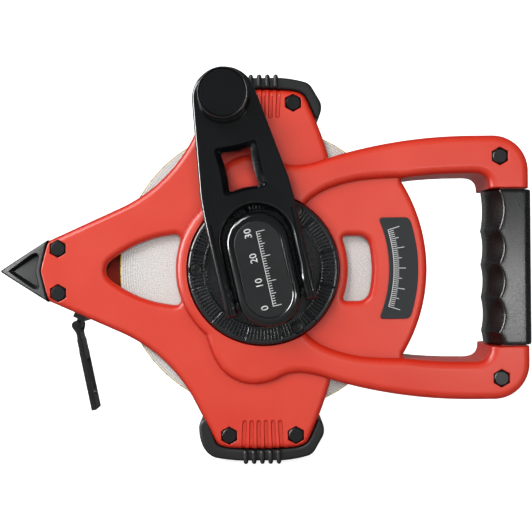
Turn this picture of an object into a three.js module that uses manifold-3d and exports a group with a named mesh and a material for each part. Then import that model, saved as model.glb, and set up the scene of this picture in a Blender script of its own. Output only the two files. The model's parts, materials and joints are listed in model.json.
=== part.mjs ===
// Open-reel surveyor tape: two shell halves around a tape spool with a folding crank.
// Millimetres, +Z up. The origin is where the spool axis meets the flat back face of the rear shell.
// The crank is on the -Y side, the ground spike points to -X and the handle is on the +X side.
// The pieces are drawn with Y = 0 at the parting plane of the shell halves, and the root group
// moves them so that the back face lies at Y = 0.

import * as THREE from 'three';
import { mergeVertices } from 'three/addons/utils/BufferGeometryUtils.js';
import Module from 'manifold-3d';

const wasm = await Module();
wasm.setup();

// ---- Driving dimensions --------------------------------------------------------------------

const GAP = 0.3;                    // clearance between pieces that are cut to fit each other
const CURVE_STEPS = 5;              // divisions of each curve in an outline
const BOLT_STEPS = 4;               // divisions of a shank or of a bolt hole
const THROUGH = 20;                 // depth that every cut through a shell half or the disc reaches
const PAST = 1;                     // overrun of a cut beyond the face where it comes out

// Shell halves, half-depths from the parting plane
const BASE_DEPTH = 13.5;            // nose, lobes and label panel
const LOOP_DEPTH = 17;              // raised loop around the crank disc and along the handle
const WALL_INSIDE = 9;              // inner face beside the coil
const HOLLOW_DEPTH = 11;            // inner face in the nose and lobes
const HANDLE_HOLLOW_DEPTH = 14;     // inner face in the handle bars
const COIL_BAY_R = 79.5;            // room for the coil
const LOBE_X = -1.3;                // both lobes stand on this line
const LOBE_END = 95.5;
const HANDLE_HALF_HEIGHT = 70.3;
const HANDLE_RIGHT = 141.5;
const HANDLE_CORNER_R = 19;
const OPENING_LEFT_R = 87.7;        // hand opening, arc about the spool axis
const OPENING_HALF_HEIGHT = 50;
const OPENING_RIGHT = 119;
const LOOP_RING_LEFT_R = 46.5;      // outer edge of the loop's ring, left of the disc
const WINDOW_RING_R = 47;           // end of the left window nearest the disc
const RIGHT_WINDOW = { insideR: 45.5, outsideR: 58.3, halfHeight: 17.4 };
const NOSE_CORNER = { x: -114.7, z: 16.3 };

// Tape and spool
const COIL_R = 77.3;
const COIL_BORE_R = 41.5;
const TAPE_HALF_WIDTH = 7.5;
const TAPE_THICK = 0.5;
const DRUM_R = 41.3;
const DRUM_INSIDE_R = 38;
const DRUM_HALF_WIDTH = 8.4;
const AXLE_R = 4.8;
const AXLE_CLEARANCE = 0.2;
const AXLE_SEAT = 14;               // depth of the blind hole that holds the axle
const AXLE_CHAMFER = 1;
const BOSS_R = 9;                   // boss of the rear shell around the axle
const HUB_R = 9;                    // hub of the drum around the axle
const WEB_FRONT = -DRUM_HALF_WIDTH; // web that joins the drum's rim to its hub
const WEB_BACK = -4.4;

// Crank disc
const DISC_R = 40;
const DISC_CLEARANCE = 0.5;
const DISC_FRONT = -18.5;
const DISC_FLOOR = -15;
const DISC_FLOOR_R = 30.3;
const DISC_UNDERSIDE = -12.5;
const DISC_RIM_INSIDE_R = 30;
const DISC_RIB_R = 36.4;            // the flat rim ends here and slopes down to the disc's edge
const DISC_SCREW_PITCH_R = 35.6;
const DISC_SCREW = { headR: 3, shankR: 1.5, headFront: -18.2, headBack: -16.1, tip: -5 };
const SCREW_CROSS = { reach: 1.9, half: 0.4, bottom: -17.4 };
const SCREW_HOLE_R = 1.8;

// Crank: U is the direction of the arm in the disc plane, leaning to -X
const ARM_LEAN = THREE.MathUtils.degToRad(12.4);
const ARM_PIVOT_U = -15.7;          // hinge pin, along the arm from the spool axis
const ARM_PIVOT_Y = -25.5;
const ARM_HALF_THICK = 5.5;
const ARM_KNOB_U = 90;
const ARM_TIP_R = 16.7;
const FORK_HALF_GAP = 18.1;
const FORK_TOP_U = 33.3;
const PRONG_END_U = -21.2;
const PRONG_HALF_SPAN = 24;
const ARM_SHOULDER = { halfSpan: 23.4, u: 42 };
const ARM_WINDOW = { left: -11.4, right: 12, bottom: 40.6, top: 66.3, recess: 2.5 };
const ARM_WINDOW_HOLE = { left: -8.1, right: 7.7, bottom: 42.6, top: 63.3 };
const PIN_R = 2.5;
const KNOB_R = 12.9;
const KNOB_HEIGHT = 15;
const KNOB_BORE_R = 3.4;
const KNOB_RECESS = { radius: 11, capSeat: 1.6, floor: 6 };   // depths from the knob's front
const CAP_R = 10.7;
const KNOB_AXLE = { radius: 3, headR: 6, headTop: 2.4, headDepth: 3.3, footDepth: 1.8 };
const BLOCK_FRONT = -32;
const BLOCK_BODY = { halfWidth: 16.5, halfHeight: 30 };
const BLOCK_TOP = { halfWidth: 14.5, halfHeight: 28, height: 3 };
const BLOCK_LABEL = { halfWidth: 12, halfHeight: 25, sink: 0.8, thickness: 0.5 };

// Fasteners: M5 bolts with 8 mm hex heads
const HEX_FLATS = 8;
const HEX_HEIGHT = 3.4;
const SHANK_R = 2.5;
const HEAD_SINK = 0.2;              // heads sit this far below the face around them

// Tape mouth and hook
const TAPE_LEAVES = new THREE.Vector2(-69, 35);      // where the tape leaves the coil
const HOOK_PIVOT = new THREE.Vector2(-101.6, -29.6);
const HOOK_LEAN = THREE.MathUtils.degToRad(11.5);    // the hook hangs this far towards +X
const HOOK_LENGTH = 47;
const HOOK_THICK = 2.8;
const HOOK_HALF_WIDTH = 6.8;
const HOOK_EYE_R = 2.6;
const HOOK_FORK = { reach: 4.2, half: 4.8 };           // gap of the hook around the clasp
const HOOK_HOLE = { half: 4.5, top: -19, bottom: -39 };
const HOOK_PIN_R = 1;
const HOOK_PIN_CLEARANCE = 0.15;
const CLASP = { eyeR: 2.3, halfWidth: 4.4, thickness: 2.6, from: 1.7, to: 6.1 };

// Handle, spike, bumpers and label
const GRIP = { halfHeight: 41.5, right: 143.5, halfDepth: 16, cornerR: 7 };
const FINGER_GROOVE = { pitch: 18, depth: 1.2, ridgeZ: 1.5, steps: 24 };
const CORE = { left: 123, right: 139.5, depth: 12.5, wall: 3, hollowHalfHeight: 38 };
const SPIKE = { tip: -142.8, tipHalf: 0.5, tipDepth: 5.5, cornerX: -115.1, cornerZ: 16.6, apexX: -119.2 };
const SPIKE_RECESS = { tip: -135.4, right: -119.5, notch: -122, halfHeight: 9.9, floor: 8.5 };
const SPIKE_TANG = { left: -117.5, right: -103.5, half: 6.5, depth: 6 };
const BUMPER_DEPTH = 12.5;
const BUMPER_RIB = { pitch: 4.4, half: 1.05, bottom: 98, top: 104.4, depth: 11.5 };
const LABEL = { inner: 67.1, outer: 82.5, half: 27, corner: 2.5, proud: 0.6, sink: 0.05 };
const MOUTH_GUIDE = { length: 7, thickness: 6.4, halfWidth: 9.4, slot: 3, slotHalfWidth: 8 };
const MOUTH_FROM_HOOK = 7.6;

// ---- Materials -----------------------------------------------------------------------------

const plastic = (color, roughness) => new THREE.MeshStandardMaterial({ color, roughness, metalness: 0 });
const metal = (color, roughness) => new THREE.MeshStandardMaterial({ color, roughness, metalness: 1 });

const redShell = plastic(0xe0402c, 0.45);
const blackPlastic = plastic(0x1c2022, 0.4);
const glossBlack = plastic(0x141618, 0.22);
const blackRubber = plastic(0x202224, 0.8);
const labelGrey = plastic(0x3a4040, 0.5);
const tapeWhite = plastic(0xdcdad5, 0.7);
const tapeYellow = plastic(0xe2c52e, 0.6);
const steel = metal(0xb8bbbf, 0.3);
const blackSteel = metal(0x26282a, 0.45);

// ---- Geometry helpers ----------------------------------------------------------------------

const point = (x, z) => new THREE.Vector2(x, z);

// Closes the upper half of an outline, given from left to right, with its mirror image below.
function mirrored(half) {
  const upper = half.getPoints(CURVE_STEPS);
  const lower = upper.filter((p) => p.y > 0.001).map((p) => point(p.x, -p.y)).reverse();
  return new THREE.Shape([...upper, ...lower]);
}

function polygon(corners) {
  return new THREE.Shape(corners.map(([x, z]) => point(x, z)));
}

function rectangle(left, right, bottom, top) {
  return polygon([[left, bottom], [right, bottom], [right, top], [left, top]]);
}

function circle(x, z, radius) {
  return new THREE.Shape().absarc(x, z, radius, 0, 2 * Math.PI);
}

function hexagon(x, z, acrossFlats) {
  const corner = acrossFlats / Math.sqrt(3);
  const corners = [];
  for (let i = 0; i < 6; i += 1) {
    const angle = Math.PI / 2 + i * Math.PI / 3;
    corners.push([x + corner * Math.cos(angle), z + corner * Math.sin(angle)]);
  }
  return polygon(corners);
}

// Extrudes an outline drawn in the XZ plane from front (lower Y) to back (higher Y).
function slab(shape, front, back, curveSegments = CURVE_STEPS) {
  const settings = { depth: back - front, bevelEnabled: false, curveSegments };
  return new THREE.ExtrudeGeometry(shape, settings).rotateX(Math.PI / 2).translate(0, back, 0);
}

// Turns a profile of [radius, y] pairs about the Y axis, then moves it to (x, z).
// The profile runs up the outside in +Y, so that the faces point out.
function turned(profile, segments, x = 0, z = 0) {
  const points = profile.map(([r, y]) => new THREE.Vector2(r, y));
  return new THREE.LatheGeometry(points, segments).translate(x, 0, z);
}

function solid(geometry) {
  const bare = geometry.clone();
  bare.deleteAttribute('normal');
  bare.deleteAttribute('uv');
  const merged = mergeVertices(bare, 1e-4);
  const vertProperties = new Float32Array(merged.getAttribute('position').array);
  const triVerts = new Uint32Array(merged.getIndex().array);
  return new wasm.Manifold(new wasm.Mesh({ numProp: 3, vertProperties, triVerts }));
}

function toGeometry(manifold) {
  const mesh = manifold.getMesh();
  const geometry = new THREE.BufferGeometry();
  geometry.setAttribute('position', new THREE.BufferAttribute(new Float32Array(mesh.vertProperties), 3));
  geometry.setIndex(new THREE.BufferAttribute(new Uint32Array(mesh.triVerts), 1));
  geometry.computeVertexNormals();
  return geometry;
}

// Joins the first list of geometries and cuts the second list out of them.
function carve(joined, cut = []) {
  let body = solid(joined[0]);
  for (const geometry of joined.slice(1)) {
    body = body.add(solid(geometry));
  }
  for (const geometry of cut) {
    body = body.subtract(solid(geometry));
  }
  return toGeometry(body);
}

// The part of two geometries that both fill.
const common = (first, second) => toGeometry(solid(first).intersect(solid(second)));

// Mirrors a closed geometry in the parting plane and keeps its faces pointing out.
function mirrorInPartingPlane(geometry) {
  const flipped = geometry.clone().scale(1, -1, 1);
  const index = flipped.getIndex().array;
  for (let i = 0; i < index.length; i += 3) {
    [index[i], index[i + 1]] = [index[i + 1], index[i]];
  }
  flipped.computeVertexNormals();
  return flipped;
}

const root = new THREE.Group();
root.position.y = -LOOP_DEPTH;

function add(name, geometry, material, parent = root) {
  const mesh = new THREE.Mesh(geometry, material);
  mesh.name = name;
  parent.add(mesh);
  return mesh;
}

// ---- Outlines of the shell -----------------------------------------------------------------

// Runs an outline along the upper handle bar and round the handle's corner.
function alongHandle(half) {
  const cornerX = HANDLE_RIGHT - HANDLE_CORNER_R;
  const cornerZ = HANDLE_HALF_HEIGHT - HANDLE_CORNER_R;
  half.quadraticCurveTo(75, HANDLE_HALF_HEIGHT, 112, HANDLE_HALF_HEIGHT);
  half.lineTo(cornerX, HANDLE_HALF_HEIGHT);
  half.absarc(cornerX, cornerZ, HANDLE_CORNER_R, Math.PI / 2, 0, true);
  half.lineTo(HANDLE_RIGHT, 0);
}

function shellOutline() {
  const half = new THREE.Path();
  half.moveTo(-118.8, 0);
  half.lineTo(NOSE_CORNER.x, NOSE_CORNER.z);
  half.lineTo(-77, 33.2);
  half.quadraticCurveTo(-52, 44.4, -38.5, 68.2);
  half.lineTo(-26.8, 91);
  half.quadraticCurveTo(-24.5, LOBE_END, -20, LOBE_END);
  half.lineTo(17, LOBE_END);
  half.quadraticCurveTo(21.4, LOBE_END, 23.5, 91);
  half.quadraticCurveTo(31, 76, 35.6, 60.2);
  alongHandle(half);
  return mirrored(half);
}

// The raised loop: a ring around the disc that swells above and below it and runs into the handle.
function loopOutline() {
  const half = new THREE.Path();
  half.moveTo(-LOOP_RING_LEFT_R, 0);
  half.absarc(0, 0, LOOP_RING_LEFT_R, Math.PI, 0.73 * Math.PI, true);
  half.quadraticCurveTo(-28.5, 43, -24, 51);
  half.quadraticCurveTo(-15, 61.4, -3, 61.2);
  half.quadraticCurveTo(7, 60.5, 13, 54.6);
  half.quadraticCurveTo(20, 50, 35.6, 60.2);
  alongHandle(half);
  return mirrored(half);
}

// The lower panel between the disc and the hand opening, cut out of the raised loop.
function panelOutline() {
  const half = new THREE.Path();
  half.moveTo(38, 0);
  half.lineTo(23.2, 34);
  half.quadraticCurveTo(33, 44, 55, 47.3);
  half.quadraticCurveTo(68, 49.5, 80, OPENING_HALF_HEIGHT);
  half.lineTo(OPENING_RIGHT - 10, OPENING_HALF_HEIGHT);
  half.lineTo(OPENING_RIGHT - 10, 0);
  return mirrored(half);
}

function handOpeningOutline() {
  const cornerAngle = THREE.MathUtils.degToRad(30);
  const cornerR = 8;
  const half = new THREE.Path();
  half.moveTo(OPENING_LEFT_R, 0);
  half.absarc(0, 0, OPENING_LEFT_R, 0, cornerAngle, false);
  half.quadraticCurveTo(72.2, OPENING_HALF_HEIGHT, 79, OPENING_HALF_HEIGHT);
  half.lineTo(OPENING_RIGHT - cornerR, OPENING_HALF_HEIGHT);
  half.quadraticCurveTo(OPENING_RIGHT, OPENING_HALF_HEIGHT, OPENING_RIGHT, OPENING_HALF_HEIGHT - cornerR);
  half.lineTo(OPENING_RIGHT, 0);
  return mirrored(half);
}

function leftWindowOutline() {
  const half = new THREE.Path();
  half.moveTo(-84.3, 0);
  half.quadraticCurveTo(-84.3, 3.6, -80.5, 6.2);
  half.quadraticCurveTo(-67, 16, -51, 18.3);
  half.lineTo(-48, 18.6);
  half.quadraticCurveTo(-43.6, 18.8, -44.5, 15);
  half.absarc(0, 0, WINDOW_RING_R, Math.PI - 0.325, Math.PI, false);
  return mirrored(half);
}

function rightWindowOutline() {
  const half = new THREE.Path();
  half.moveTo(RIGHT_WINDOW.insideR, 0);
  half.absarc(0, 0, RIGHT_WINDOW.insideR, 0, 0.329, false);
  half.quadraticCurveTo(42.2, RIGHT_WINDOW.halfHeight, 45, RIGHT_WINDOW.halfHeight);
  half.lineTo(50.5, RIGHT_WINDOW.halfHeight);
  half.quadraticCurveTo(55.8, RIGHT_WINDOW.halfHeight, 57.1, 11.9);
  half.absarc(0, 0, RIGHT_WINDOW.outsideR, 0.206, 0, true);
  return mirrored(half);
}

// ---- Bolt places ---------------------------------------------------------------------------

const NOSE_BOLT = { x: -109.5, z: 11.9, face: BASE_DEPTH };
const LEFT_LOBE_BOLT = { x: LOBE_X - 17.6, z: 88.7, face: BASE_DEPTH };
const RIGHT_LOBE_BOLT = { x: LOBE_X + 18, z: 88.7, face: BASE_DEPTH };
const HANDLE_BOLT = { x: 125.8, z: 58.8, face: LOOP_DEPTH };
const below = (place) => ({ ...place, z: -place.z });
const boltPlaces = [
  NOSE_BOLT, below(NOSE_BOLT),
  LEFT_LOBE_BOLT, RIGHT_LOBE_BOLT,
  below(LEFT_LOBE_BOLT), below(RIGHT_LOBE_BOLT),
  HANDLE_BOLT, below(HANDLE_BOLT),
];

// ---- Shell halves --------------------------------------------------------------------------

// Direction of the tape through its mouth, and the place of the mouth on that line.
const tapeLine = HOOK_PIVOT.clone().sub(TAPE_LEAVES).normalize();
const mouth = HOOK_PIVOT.clone().addScaledVector(tapeLine, -MOUTH_FROM_HOOK);

// A box that lies along the tape line, centred at the given distance past the mouth.
function alongTape(past, length, thickness, halfWidth) {
  const centre = mouth.clone().addScaledVector(tapeLine, past);
  return new THREE.BoxGeometry(length, 2 * halfWidth, thickness)
    .rotateY(-tapeLine.angle())
    .translate(centre.x, 0, centre.y);
}

// The block behind the spike that the shell halves clamp; it and its pocket differ by these amounts.
function spikeTangBox(wider, longer, shift) {
  return new THREE.BoxGeometry(
    SPIKE_TANG.right - SPIKE_TANG.left + longer,
    2 * SPIKE_TANG.depth + wider,
    2 * SPIKE_TANG.half + wider,
  ).translate((SPIKE_TANG.left + SPIKE_TANG.right) / 2 + shift, 0, 0);
}

// Everything that both halves share, built as the front half, at Y below zero.
function halfShellParts() {
  const joined = [
    slab(shellOutline(), -BASE_DEPTH, 0),
    common(
      slab(loopOutline(), -LOOP_DEPTH, -BASE_DEPTH + 2),
      carve([slab(rectangle(-60, 150, -80, 80), -LOOP_DEPTH - 1, -BASE_DEPTH + 3)],
        [slab(panelOutline(), -LOOP_DEPTH - 2, -BASE_DEPTH + 4)]),
    ),
  ];
  const noseHollow = polygon([[-102, 18.4], [-66, 35], [-66, -35], [-102, -18.4]]);
  const gripBay = GRIP.halfHeight + GAP;
  const cut = [
    slab(circle(0, 0, COIL_BAY_R), -WALL_INSIDE, PAST, 16),
    slab(noseHollow, -HOLLOW_DEPTH, PAST),
    slab(handOpeningOutline(), -THROUGH, PAST),
    slab(rectangle(110, 150, -gripBay, gripBay), -THROUGH, PAST),
    spikeTangBox(2 * GAP, 6, -2),
    alongTape(0, MOUTH_GUIDE.length + 8, MOUTH_GUIDE.thickness + 2 * GAP, MOUTH_GUIDE.halfWidth + GAP),
  ];
  const lobeHollow = { half: 9, low: 82.5, high: 92.5 };
  for (const side of [-1, 1]) {
    const [low, high] = [side * lobeHollow.low, side * lobeHollow.high].sort((a, b) => a - b);
    const lobe = rectangle(LOBE_X - lobeHollow.half, LOBE_X + lobeHollow.half, low, high);
    cut.push(slab(lobe, -HOLLOW_DEPTH, PAST));
    const bar = [[48, 54], [48, 60], [80, 65.5], [112, 66.5], [112, 54]];
    cut.push(slab(polygon(bar.map(([x, z]) => [x, side * z])), -HANDLE_HOLLOW_DEPTH, PAST));
  }
  for (const place of boltPlaces) {
    const pocketFloor = HEX_HEIGHT + HEAD_SINK + 0.1 - place.face;
    cut.push(slab(hexagon(place.x, place.z, HEX_FLATS + 2 * GAP), -THROUGH, pocketFloor));
    cut.push(slab(circle(place.x, place.z, SHANK_R + GAP), -THROUGH, PAST, BOLT_STEPS));
  }
  return { joined, cut };
}

// The bar inside the grip, which joins the two ends of the handle.
const CORE_HALF_HEIGHT = GRIP.halfHeight + 4;
const core = () => slab(
  rectangle(CORE.left, CORE.right, -CORE_HALF_HEIGHT, CORE_HALF_HEIGHT), -CORE.depth, 0,
);
const coreHollow = () => slab(
  rectangle(CORE.left + CORE.wall, CORE.right - CORE.wall, -CORE.hollowHalfHeight, CORE.hollowHalfHeight),
  -CORE.depth + CORE.wall,
  PAST,
);

function frontShell() {
  const { joined, cut } = halfShellParts();
  cut.push(slab(leftWindowOutline(), -THROUGH, PAST));
  cut.push(slab(rightWindowOutline(), -THROUGH, PAST));
  cut.push(slab(circle(0, 0, DISC_R + DISC_CLEARANCE), -THROUGH, PAST, 18));
  return carve([carve(joined, cut), core()], [coreHollow()]);
}

// The back half is closed behind the drum and carries the boss for the spool axle.
function rearShell() {
  const { joined, cut } = halfShellParts();
  const shell = carve([carve(joined, cut), core()], [coreHollow()]);
  const bossTop = -WALL_INSIDE + 0.4;
  const boss = turned([[0, -BASE_DEPTH], [BOSS_R, -BASE_DEPTH], [BOSS_R, bossTop], [0, bossTop]], 24);
  const boreR = AXLE_R + AXLE_CLEARANCE;
  const bore = turned([[0, -AXLE_SEAT], [boreR, -AXLE_SEAT], [boreR, PAST], [0, PAST]], 24);
  return mirrorInPartingPlane(carve([shell, boss], [bore]));
}

add('front_shell', frontShell(), redShell);
add('rear_shell', rearShell(), redShell);

// ---- Spike, bumpers, grip and label --------------------------------------------------------

function noseSpike() {
  const { tip, tipHalf, cornerX, cornerZ, apexX } = SPIKE;
  const plan = polygon([
    [tip, tipHalf], [tip, -tipHalf], [cornerX, -cornerZ], [apexX, 0], [cornerX, cornerZ],
  ]);
  const { right, notch, halfHeight, floor } = SPIKE_RECESS;
  const recess = polygon([[SPIKE_RECESS.tip, 0], [right, -halfHeight], [notch, 0], [right, halfHeight]]);
  // Seen from above, the spike narrows towards its tip.
  const wedge = polygon([
    [tip - 1, -SPIKE.tipDepth], [cornerX + 1, -BASE_DEPTH],
    [cornerX + 1, BASE_DEPTH], [tip - 1, SPIKE.tipDepth],
  ]);
  const taper = new THREE.ExtrudeGeometry(wedge, { depth: 40, bevelEnabled: false }).translate(0, 0, -20);
  const blade = common(slab(plan, -BASE_DEPTH, BASE_DEPTH), taper);
  const tang = spikeTangBox(0, 3, -1.5);
  return carve([blade, tang], [slab(recess, -THROUGH, -floor), slab(recess, floor, THROUGH)]);
}

add('nose_spike', noseSpike(), blackPlastic);

// A ribbed rubber cap on a lobe; side is 1 for the upper lobe and -1 for the lower one.
function bumper(side) {
  const outer = new THREE.Shape();
  outer.moveTo(-31, side * 79.6);
  outer.quadraticCurveTo(-35.4, side * 81, -35.2, side * 85);
  outer.quadraticCurveTo(-34, side * 99, -25.8, side * 100.9);
  outer.quadraticCurveTo(LOBE_X, side * 104, 23, side * 100.2);
  outer.quadraticCurveTo(25.5, side * 99.6, 27, side * 97);
  outer.lineTo(31.8, side * 89.6);
  outer.quadraticCurveTo(32.6, side * 86.6, 31.6, side * 83);
  outer.quadraticCurveTo(31, side * 80.6, 29, side * 80.4);
  const joined = [slab(side > 0 ? outer : reversed(outer), -BUMPER_DEPTH, BUMPER_DEPTH)];
  const { pitch, half, bottom, top, depth } = BUMPER_RIB;
  const [low, high] = [side * bottom, side * top].sort((a, b) => a - b);
  for (let i = -2; i <= 2; i += 1) {
    const x = LOBE_X + i * pitch;
    joined.push(slab(rectangle(x - half, x + half, low, high), -depth, depth));
  }
  // The lobe's own outline, grown by the clearance.
  const grown = new THREE.Shape();
  grown.moveTo(-45, side * 60);
  grown.lineTo(-27 - GAP, side * 91.2);
  grown.quadraticCurveTo(-24.7, side * (LOBE_END + GAP), -20, side * (LOBE_END + GAP));
  grown.lineTo(17, side * (LOBE_END + GAP));
  grown.quadraticCurveTo(21.6, side * (LOBE_END + GAP), 23.5 + GAP, side * 91.2);
  grown.quadraticCurveTo(31.4, side * 76, 36.2, side * 60);
  return carve(joined, [slab(side > 0 ? grown : reversed(grown), -THROUGH, THROUGH)]);
}

// The same outline run the other way round.
function reversed(shape) {
  return new THREE.Shape(shape.getPoints(CURVE_STEPS).reverse());
}

add('top_bumper', bumper(1), blackRubber);
add('bottom_bumper', bumper(-1), blackRubber);

function handGrip() {
  const left = OPENING_RIGHT;
  const { halfHeight, right, halfDepth, cornerR } = GRIP;
  const { pitch, depth, ridgeZ, steps } = FINGER_GROOVE;
  const corners = [[right, -halfHeight], [right, halfHeight]];
  for (let i = 0; i <= steps; i += 1) {
    const z = halfHeight - i * (2 * halfHeight) / steps;
    const wave = 0.5 - 0.5 * Math.cos((z - ridgeZ) * 2 * Math.PI / pitch);
    corners.push([left + depth * wave, z]);
  }
  const plan = slab(polygon(corners), -halfDepth, halfDepth);
  // The cross-section is a rounded oblong, run along Z.
  const section = new THREE.Shape();
  section.absarc(right - cornerR, halfDepth - cornerR, cornerR, 0, Math.PI / 2);
  section.absarc(left + cornerR, halfDepth - cornerR, cornerR, Math.PI / 2, Math.PI);
  section.absarc(left + cornerR, cornerR - halfDepth, cornerR, Math.PI, 1.5 * Math.PI);
  section.absarc(right - cornerR, cornerR - halfDepth, cornerR, 1.5 * Math.PI, 2 * Math.PI);
  const length = 2 * halfHeight + 2;
  const rounded = new THREE.ExtrudeGeometry(section, { depth: length, bevelEnabled: false, curveSegments: 4 })
    .translate(0, 0, -length / 2);
  const bore = rectangle(CORE.left - GAP, CORE.right + GAP, -60, 60);
  return carve([common(plan, rounded)], [slab(bore, -CORE.depth - GAP, CORE.depth + GAP)]);
}

add('hand_grip', handGrip(), blackRubber);

// A plain plate that follows the hand opening's edge.
function panelLabel() {
  const { inner, outer, half, corner, proud, sink } = LABEL;
  const inside = half - corner;                                  // half-height between the rounded corners
  const innerX = Math.sqrt(inner ** 2 - half ** 2);
  const outerX = Math.sqrt(outer ** 2 - half ** 2);
  const innerAngle = Math.asin(inside / inner);
  const outerAngle = Math.asin(inside / outer);
  const shape = new THREE.Shape();
  shape.absarc(0, 0, inner, -innerAngle, innerAngle);
  shape.quadraticCurveTo(innerX, half, innerX + corner, half);
  shape.lineTo(outerX - corner, half);
  shape.quadraticCurveTo(outerX, half, Math.sqrt(outer ** 2 - inside ** 2), inside);
  shape.absarc(0, 0, outer, outerAngle, -outerAngle, true);
  shape.quadraticCurveTo(outerX, -half, outerX - corner, -half);
  shape.lineTo(innerX + corner, -half);
  shape.quadraticCurveTo(innerX, -half, Math.sqrt(inner ** 2 - inside ** 2), -inside);
  return slab(reversed(shape), -BASE_DEPTH - proud, -BASE_DEPTH - sink);
}

add('panel_label', panelLabel(), labelGrey);

// ---- Frame bolts and nuts ------------------------------------------------------------------

boltPlaces.forEach((place, i) => {
  const front = -(place.face - HEAD_SINK);
  const head = slab(hexagon(place.x, place.z, HEX_FLATS), front, front + HEX_HEIGHT);
  const shank = slab(circle(place.x, place.z, SHANK_R), front + 1, -front - 0.5, BOLT_STEPS);
  add(`frame_bolt_${i + 1}`, carve([head, shank]), blackSteel);
  const nut = slab(hexagon(place.x, place.z, HEX_FLATS), -front - HEX_HEIGHT, -front);
  const thread = slab(circle(place.x, place.z, SHANK_R + 0.2), -THROUGH, THROUGH, BOLT_STEPS);
  add(`frame_nut_${i + 1}`, carve([nut], [thread]), blackSteel);
});

// ---- Spool ---------------------------------------------------------------------------------

const SCREW_ANGLES = [60, 180, 300].map((a) => THREE.MathUtils.degToRad(a));
const screwCentre = (angle) => [DISC_SCREW_PITCH_R * Math.cos(angle), DISC_SCREW_PITCH_R * Math.sin(angle)];
const DRUM_BORE_R = AXLE_R + AXLE_CLEARANCE;

function spoolDrum() {
  const body = turned([
    [DRUM_BORE_R, WEB_FRONT], [DRUM_R, WEB_FRONT], [DRUM_R, DRUM_HALF_WIDTH],
    [DRUM_INSIDE_R, DRUM_HALF_WIDTH], [DRUM_INSIDE_R, WEB_BACK], [HUB_R, WEB_BACK],
    [HUB_R, DRUM_HALF_WIDTH], [DRUM_BORE_R, DRUM_HALF_WIDTH], [DRUM_BORE_R, WEB_FRONT],
  ], 36);
  const holes = SCREW_ANGLES.map((angle) => slab(
    circle(...screwCentre(angle), SCREW_HOLE_R), -THROUGH, THROUGH, BOLT_STEPS,
  ));
  return carve([body], holes);
}

add('spool_drum', spoolDrum(), blackPlastic);

add('tape_coil', turned([
  [COIL_BORE_R, -TAPE_HALF_WIDTH], [COIL_R, -TAPE_HALF_WIDTH], [COIL_R, TAPE_HALF_WIDTH],
  [COIL_BORE_R, TAPE_HALF_WIDTH], [COIL_BORE_R, -TAPE_HALF_WIDTH],
], 48), tapeWhite);

// The last stretch of tape, from the coil to the hook.
function tapeLead() {
  const start = TAPE_LEAVES.clone().addScaledVector(tapeLine, 3);
  const end = mouth.clone().addScaledVector(tapeLine, 1.5);
  const middle = start.clone().add(end).multiplyScalar(0.5);
  const aside = point(-tapeLine.y, tapeLine.x).multiplyScalar(-TAPE_THICK);
  return new THREE.BoxGeometry(end.distanceTo(start), 2 * TAPE_HALF_WIDTH, TAPE_THICK)
    .rotateY(-tapeLine.angle())
    .translate(middle.x + aside.x, 0, middle.y + aside.y);
}

add('tape_lead', tapeLead(), tapeYellow);

const discBack = WEB_FRONT - GAP;

function crankDisc() {
  const body = turned([
    [0, DISC_FLOOR], [DISC_FLOOR_R, DISC_FLOOR], [DISC_FLOOR_R, DISC_FRONT], [DISC_RIB_R, DISC_FRONT],
    [DISC_R - 0.8, DISC_FRONT + 0.8], [DISC_R, DISC_FRONT + 1.9], [DISC_R, discBack],
    [DISC_RIM_INSIDE_R, discBack], [DISC_RIM_INSIDE_R, DISC_UNDERSIDE], [0, DISC_UNDERSIDE],
  ], 36);
  const holes = [];
  for (const angle of SCREW_ANGLES) {
    const [x, z] = screwCentre(angle);
    holes.push(slab(circle(x, z, DISC_SCREW.headR + GAP), -THROUGH, DISC_SCREW.headBack + 0.1, 5));
    holes.push(slab(circle(x, z, SCREW_HOLE_R), -THROUGH, PAST, BOLT_STEPS));
  }
  return carve([body], holes);
}

add('crank_disc', crankDisc(), blackPlastic);

SCREW_ANGLES.forEach((angle, i) => {
  const [x, z] = screwCentre(angle);
  const { headR, shankR, headFront, headBack, tip } = DISC_SCREW;
  const { reach, half, bottom } = SCREW_CROSS;
  const head = slab(circle(x, z, headR), headFront, headBack, 5);
  const shank = slab(circle(x, z, shankR), headBack - 0.9, tip, BOLT_STEPS);
  const crossBar = slab(rectangle(x - reach, x + reach, z - half, z + half), headFront - 0.8, bottom);
  const crossPost = slab(rectangle(x - half, x + half, z - reach, z + reach), headFront - 0.8, bottom);
  add(`disc_screw_${i + 1}`, carve([head, shank], [crossBar, crossPost]), blackSteel);
});

// Axle: seated in the boss of the rear shell, with the drum running on it.
const AXLE_FRONT = -8;
const axleBack = AXLE_SEAT - AXLE_CLEARANCE;

add('spool_axle', turned([
  [0, AXLE_FRONT], [AXLE_R - AXLE_CHAMFER, AXLE_FRONT], [AXLE_R, AXLE_FRONT + AXLE_CHAMFER],
  [AXLE_R, axleBack - AXLE_CHAMFER], [AXLE_R - AXLE_CHAMFER, axleBack], [0, axleBack],
], 20), steel);

// ---- Crank ---------------------------------------------------------------------------------

// Everything on the crank is drawn upright (arm along +Z) and leaned about the spool axis.
const crank = new THREE.Group();
crank.rotation.y = -ARM_LEAN;
root.add(crank);

function stadium(halfWidth, halfHeight) {
  const straight = halfHeight - halfWidth;
  const shape = new THREE.Shape();
  shape.absarc(0, straight, halfWidth, 0, Math.PI);
  shape.absarc(0, -straight, halfWidth, Math.PI, 2 * Math.PI);
  return shape;
}

// A cylinder along X on the line of the crank pin.
const acrossArm = (radius, length) => new THREE.CylinderGeometry(radius, radius, length, 16)
  .rotateZ(Math.PI / 2)
  .translate(0, ARM_PIVOT_Y, ARM_PIVOT_U);

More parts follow.
